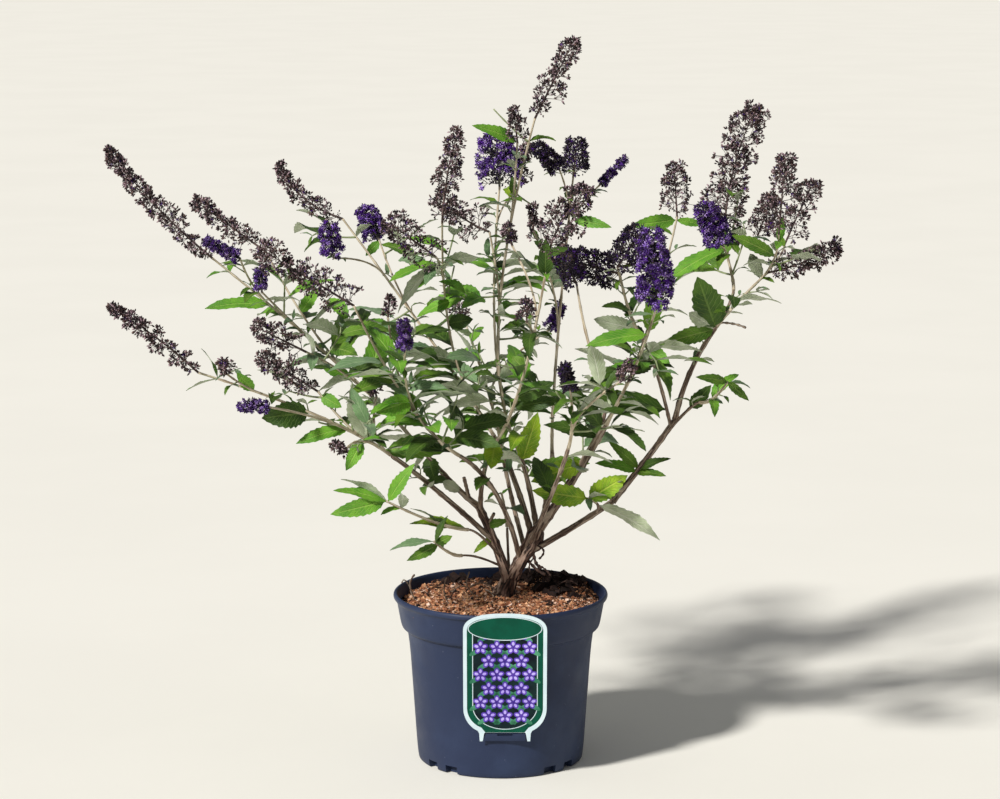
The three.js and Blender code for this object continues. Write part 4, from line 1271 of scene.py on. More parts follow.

# Some of these leaves take the tint that paints sunlight shining through the leaves.
MARKED_LEAVES = tuple(MarkedLeaf(*row) for row in (
    ("elbow_twig", 0, 1.0, (33, -55, 303), 25, GOLD),
    ("elbow_twig", 0, 0.95, (133, -50, 318), 25, GOLD),
    ("right_mid", None, 0.64, (32, -20, 305), 25, GOLD),
    ("elbow_twig", None, 0.76, (170, -30, 245), 15, MID, -1),
    ("right_mid", None, 0.88, (45, -35, 370), 16, DEEP),
    ("right_far", None, 0.37, (100, -15, 325), 12, FRESH),
    ("right_far", None, 0.4, (115, 0, 345), 13, MID),
    ("right_far", None, 0.38, (180, -15, 330), 8, DEEP),
    ("right_far", None, 0.35, (175, -20, 312), 9, MID),
    ("right_cross", None, 0.19, (80, -30, 395), 26, DEEP),
    ("right_side", None, 0.75, (220, -40, 412), 17, DEEP),
    ("right_side", 0, 1.0, (200, -95, 430), 11, MID),
    ("right_side", 0, 1.0, (255, -95, 405), 10, MID),
    ("high_left", 2, 0.05, (-315, 25, 485), 15, FRESH),
    ("high_left", 1, 0.53, (-195, 60, 502), 15, FRESH),
    ("high_left", 0, 0.37, (-190, 25, 420), 14, FRESH),
    ("high_left", 3, 0.34, (-115, 0, 435), 17, DEEP),
    ("high_left", None, 0.92, (-70, 15, 298), 20, DEEP),
    ("low_left", 0, 0.45, (-246, -90, 386), 30, DEEP),
    ("low_left", 5, 0.17, (-270, -100, 435), 14, FRESH),
    ("low_left", 2, 0.29, (-212, -80, 358), 16, FRESH),
    ("low_left", 3, 0.29, (-160, -85, 330), 17, FRESH),
    ("low_left", 2, 0.93, (-165, -60, 392), 15, FRESH),
    ("low_left", 4, 0.05, (-35, -70, 357), 27, MID),
    ("front_left", 1, 0.3, (-125, -165, 405), 24, FRESH),
    ("front_mid", 0, 0.27, (55, -110, 427), 20, DEEP),
    ("front_mid", 0, 0.21, (65, -105, 407), 16, DEEP),
    ("front_mid", None, 0.9, (-10, -75, 330), 22, GOLD),
    ("back_mid", None, 0.81, (40, 35, 370), 25, GOLD),
    ("back_mid", 2, 1.0, (-30, 50, 677), 15, FRESH),
    ("back_right", 1, 0.27, (125, 215, 550), 14, FRESH),
    ("front_mid", 0, 0.9, (45, -145, 578), 17, DEEP),
    ("right_mid", 1, 0.98, (140, 90, 565), 18, FRESH),
    ("right_mid", 1, 0.98, (222, 110, 564), 10, FRESH),
    ("right_tall", 0, 0.9, (258, -40, 551), 15, YOUNG, -1),
    ("right_tall", None, 0.98, (196, -25, 487), 18, YOUNG, -1),
    ("right_back", 1, 0.4, (175, 15, 515), 17, FRESH),
    ("right_tall", 1, 0.47, (238, -60, 572), 16, MID),
    ("right_tall", None, 0.98, (206, -15, 523), 37, DEEP),
    ("right_tall", None, 0.97, (171, -15, 453), 20, MID),
    ("right_mid", 0, 0.68, (85, -145, 470), 17, FRESH),
    ("right_cross", 0, 0.12, (95, -75, 487), 19, YOUNG, -1),
    ("right_cross", None, 0.88, (175, -70, 440), 16, FRESH),
    ("back_left", 3, 0.42, (-30, 100, 462), 20, DEEP),
    ("low_twig", 0, 1.0, (-175, -115, 290), 20, FRESH),
    ("low_twig", 0, 0.98, (-88, -110, 343), 15, FRESH),
    ("back_left", 4, 0.55, (-118, 0, 517), 11, FRESH),
    ("back_left", 4, 0.6, (-110, -10, 484), 11, MID, -1),
    ("back_left", 1, 0.97, (-153, 235, 515), 12, FRESH),
    ("back_left", 1, 0.93, (-87, 200, 514), 12, MID),
    ("low_twig", None, 1.0, (-95, -70, 272), 10, GOLD),
    ("low_twig", 0, 0.96, (-172, -108, 315), 11, FRESH),
    ("low_twig", 0, 0.98, (-164, -108, 327), 8, YOUNG, -1),
    ("right_mid", None, 0.95, (62, -40, 416), 20, DEEP),
    ("front_mid", 0, 0.42, (12, -100, 452), 17, MID),
    ("foot_twig", 0, 1.0, (-115, -100, 250), 7, YOUNG),
    ("foot_twig", 0, 0.85, (-97, -100, 238), 13, MID),
    ("foot_twig", 0, 0.92, (-50, -90, 262), 11, MID),
    ("foot_twig", 0, 0.95, (-55, -85, 283), 7, DEEP),
    ("left_arm", None, 0.6, (-29, -6, 225), 8, GOLD),
    ("high_left", None, 0.3, (-62, -15, 305), 13, YOUNG, -1),
    ("left_arm", None, 0.75, (8, -12, 262), 11, MID),
))

# Windows of sky on the plane y = 0: the middle across and up, half the width and half the height.
SKY_WINDOWS = np.array([
    (-142, 538, 21, 24), (79, 473, 27, 32), (58, 420, 19, 19), (55, 348, 27, 18),
    (-262, 402, 15, 11), (-10, 455, 6, 26), (-129, 308, 19, 25), (148, 291, 15, 12),
    (-196, 347, 42, 17), (-185, 381, 13, 10), (-116, 508, 12, 15), (-97, 600, 12, 22),
    (-30, 560, 14, 16), (46, 607, 9, 17), (21, 586, 13, 12), (-230, 372, 24, 12),
    (-18, 712, 16, 12), (12, 712, 10, 14), (336, 578, 12, 24), (362, 545, 10, 12),
    (249, 623, 14, 12), (258, 594, 6, 14), (-92, 208, 30, 16), (37, 347, 9, 12),
])


@dataclass(frozen=True)
class Spot:
    """Where one leaf stands: its foot, its direction, the way across it, and its own shape."""

    foot: Array
    direction: Array
    side: Array
    length: float
    tint: Tint
    slender: float = 0.32
    arch: float = 0.7
    fold: float = 0.3
    twist: float = 0.0


# ---------------- growth


@dataclass
class Growth:
    """Grows the crown by the source's rule and carries it on to finer twigs and leaves."""

    internode: float = 58.0
    bare_foot: float = 12.0
    leaf_lengths: Pair = (88.0, 30.0)
    leafy_size: float = 0.75
    full_size_length: float = 150.0
    leaf_roll: float = 0.9
    side_twig_shares: Pair = (0.27, 0.06)
    side_twig_length: float = 46.0
    side_twig_leaf: float = 60.0
    side_twig_radii: Pair = (1.1, 0.8)
    lowest_leaf: float = 205.0
    space_margin: float = 2.2
    limb_margin: float = 1.6
    leaf_margin: float = 2.4
    foot_radius: float = 2.3
    tip_radius: float = 1.3
    side_share: float = 0.8
    trial_sizes: tuple[float, ...] = (1, 0.85, 0.7)
    cell: float = 5.0
    stem_margin: float = 1.0
    filling_gap: float = 16.0
    filling_leaf: float = 92.0
    filling_twigs: float = 0.18
    lowest_filling: float = 292.0
    highest_filling: float = 0.9
    crown_middle: Pair = (-50, 400)
    crown_spread: Pair = (250, 260)
    fewest_buds: float = 0.06
    tuft_gap: float = 34.0
    tuft_leaf: float = 20.0
    tuft_chance: float = 0.6
    broad: Pair = (0.3, 0.4)
    level: float = 0.35
    ease: float = 0.8
    eye: Triple = (0.0, -3000.0, 902.0)
    reach: Array = field(default_factory=lambda: np.array([[-420, -284, 0], [368, 290, 768]], float))
    spots: list[Spot] = field(default_factory=list)
    twigs: list[Shoot] = field(default_factory=list)
    bends: dict[str, Bend] = field(default_factory=dict)
    masses: dict[str, Mass] = field(default_factory=dict)
    cells: set[tuple[int, ...]] = field(default_factory=set)
    detail: SeededStream | None = None
    mass: Mass | None = None
    limbs: Capsules | None = None
    stems: Capsules | None = None
    others: Capsules | None = None
    taken: Array | None = None

    def grow(self) -> None:
        """Works out the limbs and the masses' shoots, then the leaves: marked, by the rule, and between."""
        for limb in LIMBS:
            start = self.bends[limb.parent].station(limb.at) if limb.parent else (*TRUNK_FOOT, GROUND)
            self.bends[limb.name] = Bend.through(start, limb.middle, limb.tip)
        self.limbs = Capsules.joined([Capsules.along(self.bends[limb.name], *limb.radii) for limb in LIMBS])
        self.masses = {name: self.plan_mass(name) for name in MASSES}
        self.stems = Capsules.joined([self.limbs, *(mass.capsules for mass in self.masses.values())])
        for leaf in MARKED_LEAVES:
            self.add_marked(leaf)
        for number, mass in enumerate(self.masses.values()):
            others = [other.capsules for other in self.masses.values() if other is not mass]
            self.mass, self.others, self.taken = mass, Capsules.joined(others), np.zeros((0, 3))
            for which, shoot in enumerate(mass.shoots):
                self.dress_shoot(shoot, SeededStream(SEED + 1009 * number + 101 * which))
        LOG.info("%d leaves, %d twigs by the rule", len(self.spots), len(self.twigs))
        self.mass = None
        radii = {limb.name: limb.radii for limb in LIMBS}
        for number, (name, mass) in enumerate(self.masses.items()):
            for which, stem in enumerate([Shoot(self.bends[name], *radii[name]), *mass.shoots]):
                low = 0.02 if which else 0.45
                self.detail = SeededStream(7 * SEED + 1009 * number + 101 * which)
                self.fill_stem(stem, low)
                self.tuft_stem(stem, low)
        LOG.info("%d leaves, %d twigs in all", len(self.spots), len(self.twigs))

    def plan_mass(self, name: str) -> Mass:
        """The shoots of a mass: each bows away from its parent's direction to its tip."""
        shoots, capsules = [], []
        for plan in MASSES[name]:
            parent = shoots[plan.on] if plan.on is not None else None
            bend, share = (parent.bend, plan.at) if parent else (self.bends[name], 1.0)
            foot = self.side_share * parent.radius(plan.at) if parent else self.foot_radius
            tip = np.array(plan.tip, float)
            curve = Bend.bowed(bend.point(share), bend.tangent(share), tip)
            shoots.append(Shoot(curve, foot, min(foot, self.tip_radius), plan))
            capsules.append(Capsules.along(curve, foot, shoots[-1].tip))
            if plan.plume:
                end = np.array([plan.plume], float)
                capsules.append(Capsules(tip[None], end, np.array([plan.girth / 2])))
        return Mass(name, shoots, Capsules.joined(capsules))

    def bud(self, shoot: Shoot, share: float, turn: float, spread: float, droop: float) -> Bud:
        """Where a leaf leaves a shoot.

        Args:
            shoot: The shoot.
            share: The curve share of the place.
            turn: The turn about the shoot.
            spread: From 0 along the shoot to 1 square to it.
            droop: How far the direction is bent down.

        Returns:
            The point and the direction.
        """
        along = shoot.bend.tangent(share)
        level = np.cross(along, UP)
        level = unit(level) if np.linalg.norm(level) > 0.05 else ACROSS
        above = np.cross(level, along)
        direction = along * (1 - spread) + spread * (level * math.cos(turn) + above * math.sin(turn))
        return shoot.bend.point(share), unit(direction - UP * droop)

    def cells_of(self, probes: Array) -> set[tuple[int, ...]]:
        """The cells of a lattice that hold some points."""
        return {tuple(cell) for cell in np.floor(probes / self.cell).astype(int).tolist()}

    def in_window(self, probes: Array) -> bool:
        """Whether a probe, carried along the line from the eye to the plane y = 0, lies in a sky window."""
        share = (self.eye[1] / (self.eye[1] - probes[:, 1]))[:, None]
        across, height = probes[:, :1] * share, self.eye[2] + (probes[:, 2:] - self.eye[2]) * share
        x, z, half_width, half_height = SKY_WINDOWS.T
        return bool((((across - x) / half_width) ** 2 + ((height - z) / half_height) ** 2 < 1).any())

    def has_room(self, probes: Array) -> bool:
        """Whether probes are within the crown's reach, off the sky windows, and clear of stems and leaves.

        While a mass is dressed by the rule, they must also lie nearer to its own shoots and plumes than
        to any other's. Between, they keep out of the lattice's cells that leaves have taken.
        """
        if probes[:, 2].min() <= self.lowest_leaf or self.in_window(probes):
            return False
        if (probes < self.reach[0]).any() or (probes > self.reach[1]).any():
            return False
        if self.mass is None:
            free = self.cells.isdisjoint(self.cells_of(probes))
            return free and bool(self.stems.nearest(probes).min() > self.stem_margin)
        if self.limbs.nearest(probes).min() <= self.limb_margin:
            return False
        if (self.others.nearest(probes) <= self.mass.capsules.nearest(probes) + self.space_margin).any():
            return False
        gaps = np.linalg.norm(self.taken[:, None] - probes[None], axis=-1)
        return not len(self.taken) or bool(gaps.min() > self.leaf_margin)

    def leaf_probes(self, foot: Array, direction: Array, side: Array, length: float) -> Array:
        """Points over a leaf: its edges, its ridge, its tip, and places between them."""
        lift = np.cross(side, direction)
        left, right = (foot + direction * 0.44 * length + side * across * length + lift * 0.1 * length
                       for across in (0.15, -0.15))
        rim = [left, right, foot + direction * 0.22 * length + lift * 0.058 * length]
        tip = foot + direction * length - lift * 0.1 * length
        near = [blend(foot, point, 0.6) for point in rim]
        far = [blend(point, tip, share) for share in (0.33, 0.66) for point in rim]
        return np.array([*rim, tip, *near, *far])

    def add_marked(self, leaf: MarkedLeaf) -> None:
        """Adds a marked leaf, turned about its length so that it shows its breadth to the front."""
        limb, number = self.bends[leaf.mass], leaf.shoot
        foot = (limb if number is None else self.masses[leaf.mass].shoots[number].bend).station(leaf.at)
        reach = np.array(leaf.tip, float) - foot
        length = float(np.linalg.norm(reach))
        direction = reach / length
        slender = max(self.broad[0], leaf.breadth / length)
        share = min(1.0, leaf.breadth / length / slender)
        front = np.array([0, -0.986, 0.168])
        facing = unit(front - direction * (front @ direction))
        edgeways = np.cross(facing, direction)
        edgeways = edgeways * math.copysign(1, edgeways[2])
        side = np.cross(direction, leaf.face * share * facing + math.sqrt(1 - share * share) * edgeways)
        self.spots.append(Spot(foot, direction, side, length, leaf.tint, slender, 0.5, 0.22))
        self.cells |= self.cells_of(self.leaf_probes(foot, direction, side, length)[:-2])

    def add_leaf(self, bud: Bud, length: float, roll: float, tint: Tint) -> bool:
        """Adds a leaf where it has room, or a smaller one, or none.

        Args:
            bud: Its foot and its direction.
            length: Its length.
            roll: Its turn about its length.
            tint: Its colour.

        Returns:
            Whether it was added.
        """
        foot, way = bud
        side = np.cross(way, UP)
        side = unit(side) if np.linalg.norm(side) > 0.2 else ACROSS
        direction = unit(way * np.array([1, 1, self.level]) + UP * 0.06)
        square = unit(np.cross(direction, np.cross(side, direction)))
        side = swung(square, direction, np.array(roll * self.ease))
        for size in self.trial_sizes:
            probes = self.leaf_probes(foot, direction, side, length * size)
            if self.has_room(probes):
                self.cells |= self.cells_of(probes)
                if self.mass is not None:
                    self.taken = np.concatenate([self.taken, probes])
                shape = [blend(*limits, self.detail.draw())
                         for limits in (self.broad, (0.35, 1.15), (0.1, 0.45), (-0.5, 0.5))]
                self.spots.append(Spot(foot, direction, side, length * size, tint, *shape))
                return True
        return False

    def add_side_twig(self, bud: Bud, length: float, turn: float, roll: float, tint: Tint) -> None:
        """Adds a side twig with two pairs of leaves and a tuft at its tip, where it has room.

        Args:
            bud: Its foot and its direction.
            length: Its length.
            turn: The turn of its first pair.
            roll: The leaves' turn about their lengths.
            tint: Their colour.
        """
        foot, direction = bud
        for size in self.trial_sizes:
            tip = foot + direction * length * size + UP * 0.2 * length
            twig = Shoot(Bend.bowed(foot, direction, tip), *self.side_twig_radii)
            if self.has_room(twig.bend.point([0.4, 0.7, 1.0])):
                self.twigs.append(twig)
                for (share, more), side in product(((0.55, 0), (0.94, QUARTER_TURN)), (0, math.pi)):
                    place = self.bud(twig, share, turn + side + more, 0.6, 0.1)
                    self.add_leaf(place, self.side_twig_leaf * size, roll, tint)
                self.add_tuft(twig, 0.99, turn, 3)
                return

    def add_tuft(self, shoot: Shoot, share: float, turn: float, count: int) -> None:
        """Adds a short bud twig with a few small young leaves round its tip."""
        stream = self.detail
        foot, direction = self.bud(shoot, share, turn, 0.55, -0.15)
        twig = Shoot(Bend.bowed(foot, direction, foot + direction * (4 + 8 * stream.draw())), 0.7, 0.5)
        placed = [
            self.add_leaf(self.bud(twig, 0.98, turn + leaf * GOLDEN_TURN, 0.35 + 0.4 * stream.draw(), 0.05),
                          self.tuft_leaf * (0.5 + 0.7 * stream.draw()), stream.draw() - 0.5,
                          YOUNG if leaf % 3 else MID)
            for leaf in range(count)
        ]
        if any(placed):
            self.twigs.append(twig)

    def spray_tint(self, draw: float, share: float) -> Tint:
        """The colour of a spray's leaves: greyer and younger towards the shoot's tip."""
        limits = (0.36 - 0.1 * share, 0.66 - 0.1 * share, 0.9 - 0.12 * share, 0.94 - 0.12 * share, 1.01)
        return next(tint for limit, tint in zip(limits, Tint) if draw < limit)

    def dress_shoot(self, shoot: Shoot, stream: SeededStream) -> None:
        """Puts a pair of leaves or side twigs at each node, a quarter turn on from the pair before."""
        self.detail = SeededStream(stream.state + 7)
        length = shoot.bend.length
        nodes = max(2, round(length / self.internode))
        vigour = min(max(length / self.full_size_length, 0.55), 1) if shoot.plan.plume else self.leafy_size
        first_turn = stream.draw() * math.pi
        for node in range(nodes):
            share = min(0.97, self.bare_foot / length + (node + 0.5) / nodes)
            leaf = vigour * blend(*self.leaf_lengths, share)
            side_twigs = blend(*self.side_twig_shares, share)
            tint = self.spray_tint(self.detail.draw(), share)
            for side in (0, math.pi):
                turn = first_turn + node * QUARTER_TURN + side + 0.5 * (stream.draw() - 0.5)
                spread = 0.6 + 0.2 * stream.draw()
                droop = 0.25 * stream.draw()
                size = 0.8 + 0.35 * stream.draw()
                roll = self.leaf_roll * (stream.draw() - 0.5)
                if stream.draw() < side_twigs:
                    place = self.bud(shoot, share, turn, spread, 0)
                    self.add_side_twig(place, self.side_twig_length, turn, roll, tint)
                else:
                    place = self.bud(shoot, share, turn, spread, droop)
                    self.add_leaf(place, leaf * size, roll, tint)

    def crowding(self, point: Array) -> float:
        """How likely a bud grows: surely in the crown's middle, seldom at its sides and top."""
        (across, height), (wide, tall) = self.crown_middle, self.crown_spread
        likely = 1.02 - abs(point[0] - across) / wide - max(point[2] - height, 0) / tall
        return float(np.clip(likely, self.fewest_buds, 0.4 + max(height - point[2], 0) / 450))

    def fill_stem(self, stem: Shoot, low: float) -> None:
        """Tries a leaf or a side twig at close steps up a stem, each at a golden turn from the last."""
        stream = self.detail
        buds = round(stem.bend.length * (1 - low) / self.filling_gap)
        first_turn = stream.draw() * FULL_TURN
        tint = MID
        for number in range(buds):
            share = blend(low, self.highest_filling, (number + stream.draw()) / buds)
            if stem.bend.point(share)[2] < self.lowest_filling:
                continue
            if number % 3 == 0:
                tint = self.spray_tint(stream.draw(), share)
            turn = first_turn + GOLDEN_TURN * number
            place = self.bud(stem, share, turn, 0.5 + 0.35 * stream.draw(), 0.35 * stream.draw())
            roll = 2 * self.leaf_roll * (stream.draw() - 0.5)
            size = 0.5 + 0.6 * stream.draw()
            if stream.draw() > self.crowding(place[0]):
                continue
            if stream.draw() < self.filling_twigs:
                self.add_side_twig(place, self.side_twig_length * size, turn, roll, tint)
            else:
                leaf = blend(self.filling_leaf, 0.5 * self.filling_leaf, share)
                self.add_leaf(place, leaf * size, roll, tint)

    def tuft_stem(self, stem: Shoot, low: float) -> None:
        """Puts tufts of young leaves on opposite sides of a stem at wide steps."""
        tufts = round(stem.bend.length * (1 - low) / self.tuft_gap)
        for number, side in product(range(tufts), (0, math.pi)):
            share = blend(low, self.highest_filling, (number + 0.5) / tufts)
            high = stem.bend.point(share)[2] >= self.lowest_filling
            if high and self.detail.draw() < self.tuft_chance:
                turn = number * QUARTER_TURN + side
                self.add_tuft(stem, share, turn, 2 + int(3 * self.detail.draw()))


# ---------------- leaves


@dataclass
class Foliage:
    """The leaves as thin toothed blades, green above and felted grey beneath, joined by tint."""

    tooth: float = 0.13
    lean: float = 0.4
    blade_thickness: float = 0.4
    wave: float = 0.16
    fineness: tuple[tuple[float, float, int], ...] = ((0, 24, 8), (24, 42, 12), (42, 999, 18))

    def outline(self, segments: int) -> tuple[Array, Array]:
        """The blade's stations and half widths.

        The half width goes by u^0.6 (1 - u)^0.9, widest at two fifths of the length. Every second
        station is a tooth that leans forward, and the ones between are drawn in.
        """
        share = np.linspace(0, 1, segments + 1)
        toothed = (np.arange(segments + 1) % 2 == 0) & (share > 0.1) & (share < 0.97)
        share = share + np.where(toothed, self.lean / segments, 0)
        body = np.clip((share - 0.05) / 0.95, 0, 1)
        half = body**0.6 * (1 - body) ** 0.9 / 0.363
        half = np.where(toothed | (share < 0.12), half, half * (1 - self.tooth))
        return share, np.maximum(half * 0.5, 0.012)

    def blades(self, spots: Sequence[Spot], segments: int) -> list[Surface]:
        """The upper and the lower sheet of some leaves.

        A midrib is an arc: its heading falls evenly from above the leaf's direction to below it. The
        blade reaches out to both sides, folded up, twisted along the leaf, and waved at its edge.

        Args:
            spots: Where the leaves stand.
            segments: Stations along a leaf, less one.

        Returns:
            The upper sheets and the lower sheets.
        """
        def column(name: str) -> Array:
            """One value of every leaf."""
            return np.array([getattr(spot, name) for spot in spots])[:, None]

        share, half = self.outline(segments)
        foot, direction, side = column("foot"), column("direction"), column("side")
        length, arch, fold = column("length"), column("arch"), column("fold")
        lift = np.cross(side, direction)
        pitch = 0.45 * arch
        heading = pitch - arch * share
        run = length / arch * (np.sin(pitch) - np.sin(heading))
        rise = length / arch * (np.cos(heading) - np.cos(pitch))
        rib = foot + direction * run[..., None] + lift * rise[..., None]
        normal = lift * np.cos(heading)[..., None] - direction * np.sin(heading)[..., None]
        turn = (column("twist") * share)[..., None]
        across = side * np.cos(turn) + normal * np.sin(turn)
        above = normal * np.cos(turn) - side * np.sin(turn)
        reach = length * column("slender") * half
        wave = self.wave * reach * np.sin(FULL_TURN * (1.6 * share + foot[:, :, 0] * 0.37))
        columns = []
        for way in (-1, 0, 1):
            out = across * (way * reach * np.cos(fold))[..., None]
            up = abs(way) * (reach * np.sin(fold) + way * wave)
            columns.append(rib + out + above * up[..., None])
        upper = np.stack(columns, axis=2)
        lower = upper - above[:, :, None] * np.array([0.3, 1, 0.3])[:, None] * self.blade_thickness
        quads = grid_quads(len(share), 3, wrap=False)
        flat = np.stack([np.tile([0, 0.5, 1.0], len(share)), np.repeat(share, 3)], axis=-1)
        shift = (np.arange(len(spots)) * len(flat))[:, None, None]
        return [
            Surface(points.reshape(-1, 3), [(faces[None] + shift).reshape(-1, 4)],
                    [np.tile(flat[faces], (len(spots), 1, 1))])
            for points, faces in ((upper, quads), (lower, quads[:, [0, 3, 2, 1]]))
        ]

    def build(self, spots: Sequence[Spot]) -> None:
        """Joins the leaves of each tint into one piece."""
        felt = Blade("leaf_felt", (192, 204, 170), (222, 226, 204), (150, 164, 126),
                     0.9, 11, 2.6, 0.6, 0.0007, 0.35)
        looks = {
            DEEP: ((66, 96, 28), (112, 136, 66), (42, 70, 18), 0.45),
            MID: ((100, 140, 38), (160, 182, 96), (64, 104, 26), 0.45),
            FRESH: ((112, 168, 48), (166, 200, 96), (82, 140, 40), 0.46),
            # The next tint is a brighter yellow-green that paints sunlight shining through the leaves.
            GOLD: ((142, 174, 34), (190, 204, 88), (90, 132, 26), 0.46),
            YOUNG: ((110, 144, 94), (158, 180, 138), (82, 116, 72), 0.62, 9, 2.6, 0.4, 0.0004, 0.2),
        }
        for tint, look in looks.items():
            joinery, top = Joinery(), Blade(f"leaf_{tint.value}", *look)
            for low, high, segments in self.fineness:
                group = [spot for spot in spots if spot.tint is tint and low <= spot.length < high]
                for number, sheet in enumerate(self.blades(group, segments) if group else ()):
                    joinery.add(sheet, number)
            joinery.piece(f"leaves_{tint.value}", [top, felt], "foliage", MASS_NODES)


# ---------------- woodwork

# Cut stubs by their foot, tip and radius.
STUBS = (
    ((-34, 6, 284), (-39, 0, 306), 2.0),
    ((45, 6, 256), (49, 0, 287), 2.6),
    ((33, 14, 236), (26, 22, 262), 2.2),
    ((-12, 4, 256), (-7, -6, 268), 1.8),
)

# Dead twigs near the trunk's foot by their start, middle, end and radius.
DEAD_TWIGS = (
    ((-16, 28, 176), (-12, 14, 178), (-7, -2, 176), 0.9),
    ((-4, 2, 180), (-18, -6, 192), (-33, -14, 189), 0.9),
    ((-34, -14, 188), (-36, -16, 196), (-33, -16, 207), 0.8),
    ((-54, -24, 172), (-60, -26, 188), (-57, -28, 203), 0.8),
    ((-92, 4, 172), (-97, 2, 188), (-92, 0, 200), 1.0),
    ((-98, 6, 186), (-103, 4, 193), (-106, 2, 190), 0.7),
    ((-30, 10, 176), (-40, 6, 186), (-52, 2, 180), 0.8),
    ((231, 2, 472), (246, 0, 471), (259, -2, 467), 1.2),
)

# Dark curled twigs under the trunk's elbow, in the same way.
CURLED_TWIGS = (
    ((37, 3, 232), (46, 0, 226), (41, 0, 217), 1.1),
    ((35, 5, 232), (37, 4, 214), (44, 2, 206), 1.7),
    ((25, 8, 220), (35, 5, 208), (48, 2, 199), 1.6),
    ((40, 2, 210), (48, 2, 205), (54, 0, 198), 1.0),
    ((36, 4, 218), (31, 2, 210), (32, 0, 203), 0.9),
    ((60, 30, 178), (72, 26, 187), (84, 24, 182), 0.6),
)


@dataclass
class Woodwork:
    """The trunk, boughs, shoots and twigs as tubes with the bark's own relief."""

    flare: float = 3.6
    flare_height: float = 7.0
    lobes: int = 5
    lobe_depth: float = 0.3
    step: float = 1.2
    fine_step: float = 2.2
    node_gap: float = 34.0
    slimness: float = 0.84
    furrow_depth: float = 0.055
    flake_depth: float = 0.035
    lump_depth: float = 0.11
    knob: float = 2.2
    thick: int = 3
    fork_swell: float = 0.3
    node_swell: float = 0.16
    node_width: float = 2.6
    furrow_scale: float = 1.7
    flake_scale: float = 0.9

    def limb(self, limb: Limb, bend: Bend, number: int) -> Surface:
        """One limb: it tapers to a rounded tip and swells in its fork and at its nodes.

        Furrows are noise drawn out along the limb, and flakes are plateaus of broader noise.

        Args:
            limb: The limb's sizes.
            bend: Its curve.
            number: Its place in the list, which seeds its relief.

        Returns:
            The limb's surface.
        """
        length = bend.length
        foot, tip = limb.radii
        steps = max(12, int(length / (self.step if foot > 5 else self.fine_step)))
        share = np.linspace(0, 1, steps + 1)
        sides = int(np.clip(round(8 * foot), 16, 72))
        along = share * length
        radius = blend(foot, tip, share)
        if limb.parent:
            radius = radius * (1 + self.fork_swell * np.exp(-along / (1.6 * foot)))
            knot = (along % self.node_gap - self.node_gap / 2) / self.node_width
            radius = radius * (1 + self.node_swell * np.exp(-(knot**2)))
        end = np.clip((length - along) / (0.9 * tip), 0, 1)
        radius = radius * np.sqrt(np.clip(1 - (1 - end) ** 2, 0.02, 1))
        u, a = np.meshgrid(along, FULL_TURN * np.arange(sides) / sides, indexing="ij")
        size = np.broadcast_to(radius[:, None], u.shape)
        places = np.stack([np.cos(a) * foot / 2.2, np.sin(a) * foot / 2.2, u / 11], axis=-1)
        furrow = rough_noise(places * self.furrow_scale, 3, 31 + number)
        flake = smooth_step(lattice_noise(places * self.flake_scale, 71 + number), 0.05, 0.25)
        relief = self.furrow_depth * size * furrow + self.flake_depth * size * flake
        if foot > 6:
            lump = lattice_noise(np.stack([np.cos(a) * 1.3, np.sin(a) * 1.3, u / 12], axis=-1), 9 + number)
            relief = relief + self.lump_depth * size * lump
        if not limb.parent:
            skirt = self.flare * np.exp(-u / self.flare_height)
            relief = relief + skirt * (1 + self.lobe_depth * np.cos(self.lobes * a))
        if limb.name == "right_arm":
            knob = smooth_step(share, 0.25, 0.6)[:, None] * (1 - smooth_step(share, 0.85, 1.0))[:, None]
            relief = relief + knob * (self.knob + self.knob * lattice_noise(places * 1.1, 404))
        surface = tube(bend.station(share), size + relief, sides)
        if not limb.parent:
            surface.points[:, 2] = np.maximum(surface.points[:, 2], GROUND - 3)
        return surface

    def build_limbs(self, growth: Growth) -> None:
        """Makes the trunk with its two arms, the boughs, the stubs and the dead twigs."""
        thick, thin, curled = Joinery(), Joinery(), Joinery()
        for number, limb in enumerate(LIMBS):
            (thick if number < self.thick else thin).add(self.limb(limb, growth.bends[limb.name], number))
        for start, end, radius in STUBS:
            line = blend(np.array(start, float), np.array(end, float), np.linspace(0, 1, 14)[:, None])
            thin.add(tube(line, radius * (1 + 0.12 * np.sin(np.arange(14) * 1.9)), 12))
        for joinery, rows in ((thin, DEAD_TWIGS), (curled, CURLED_TWIGS)):
            for *points, radius in rows:
                line = Bend.through(*points).station(np.linspace(0, 1, 18))
                joinery.add(tube(line, radius * (1 + 0.3 * np.sin(np.arange(18) * 1.7)), 7))
        old = Streaked("old_bark", (106, 80, 68), (34, 23, 20), (214, 184, 164), 3.6, 90, 0.62, 0.0014)
        grey = Streaked("bough_bark", (140, 119, 102), (64, 49, 42), (206, 188, 168), 2.6, 75, 0.5, 0.0007)
        dead = Mottled("dead_wood", (84, 64, 56), (36, 26, 24), 240, 900, 0.9, 0.0003)
        names = [limb.name for limb in LIMBS]
        thick.piece("trunk_and_arms", [old], "bark", names[:self.thick])
        thin.piece("boughs", [grey], "bark", names[self.thick:])
        curled.piece("dead_twigs", [dead], "bark", [])

    def shoot(self, shoot: Shoot, heel: float, sides: int, gap: float, slimness: float = 1.0) -> Surface:
        """A shoot's tube: it flares into what carries it and swells a little at its nodes."""
        length = shoot.bend.length
        share = np.linspace(0, 1, max(4, int(length / 3.2)) + 1)
        along = share * length
        radius = shoot.radius(share) * slimness + heel * np.exp(-along / 7)
        knot = np.exp(-(((along + gap / 2) % gap - gap / 2) / 2.2) ** 2) * (1 - np.exp(-along / 6))
        return tube(shoot.bend.station(share), radius * (1 + 0.28 * knot), sides)

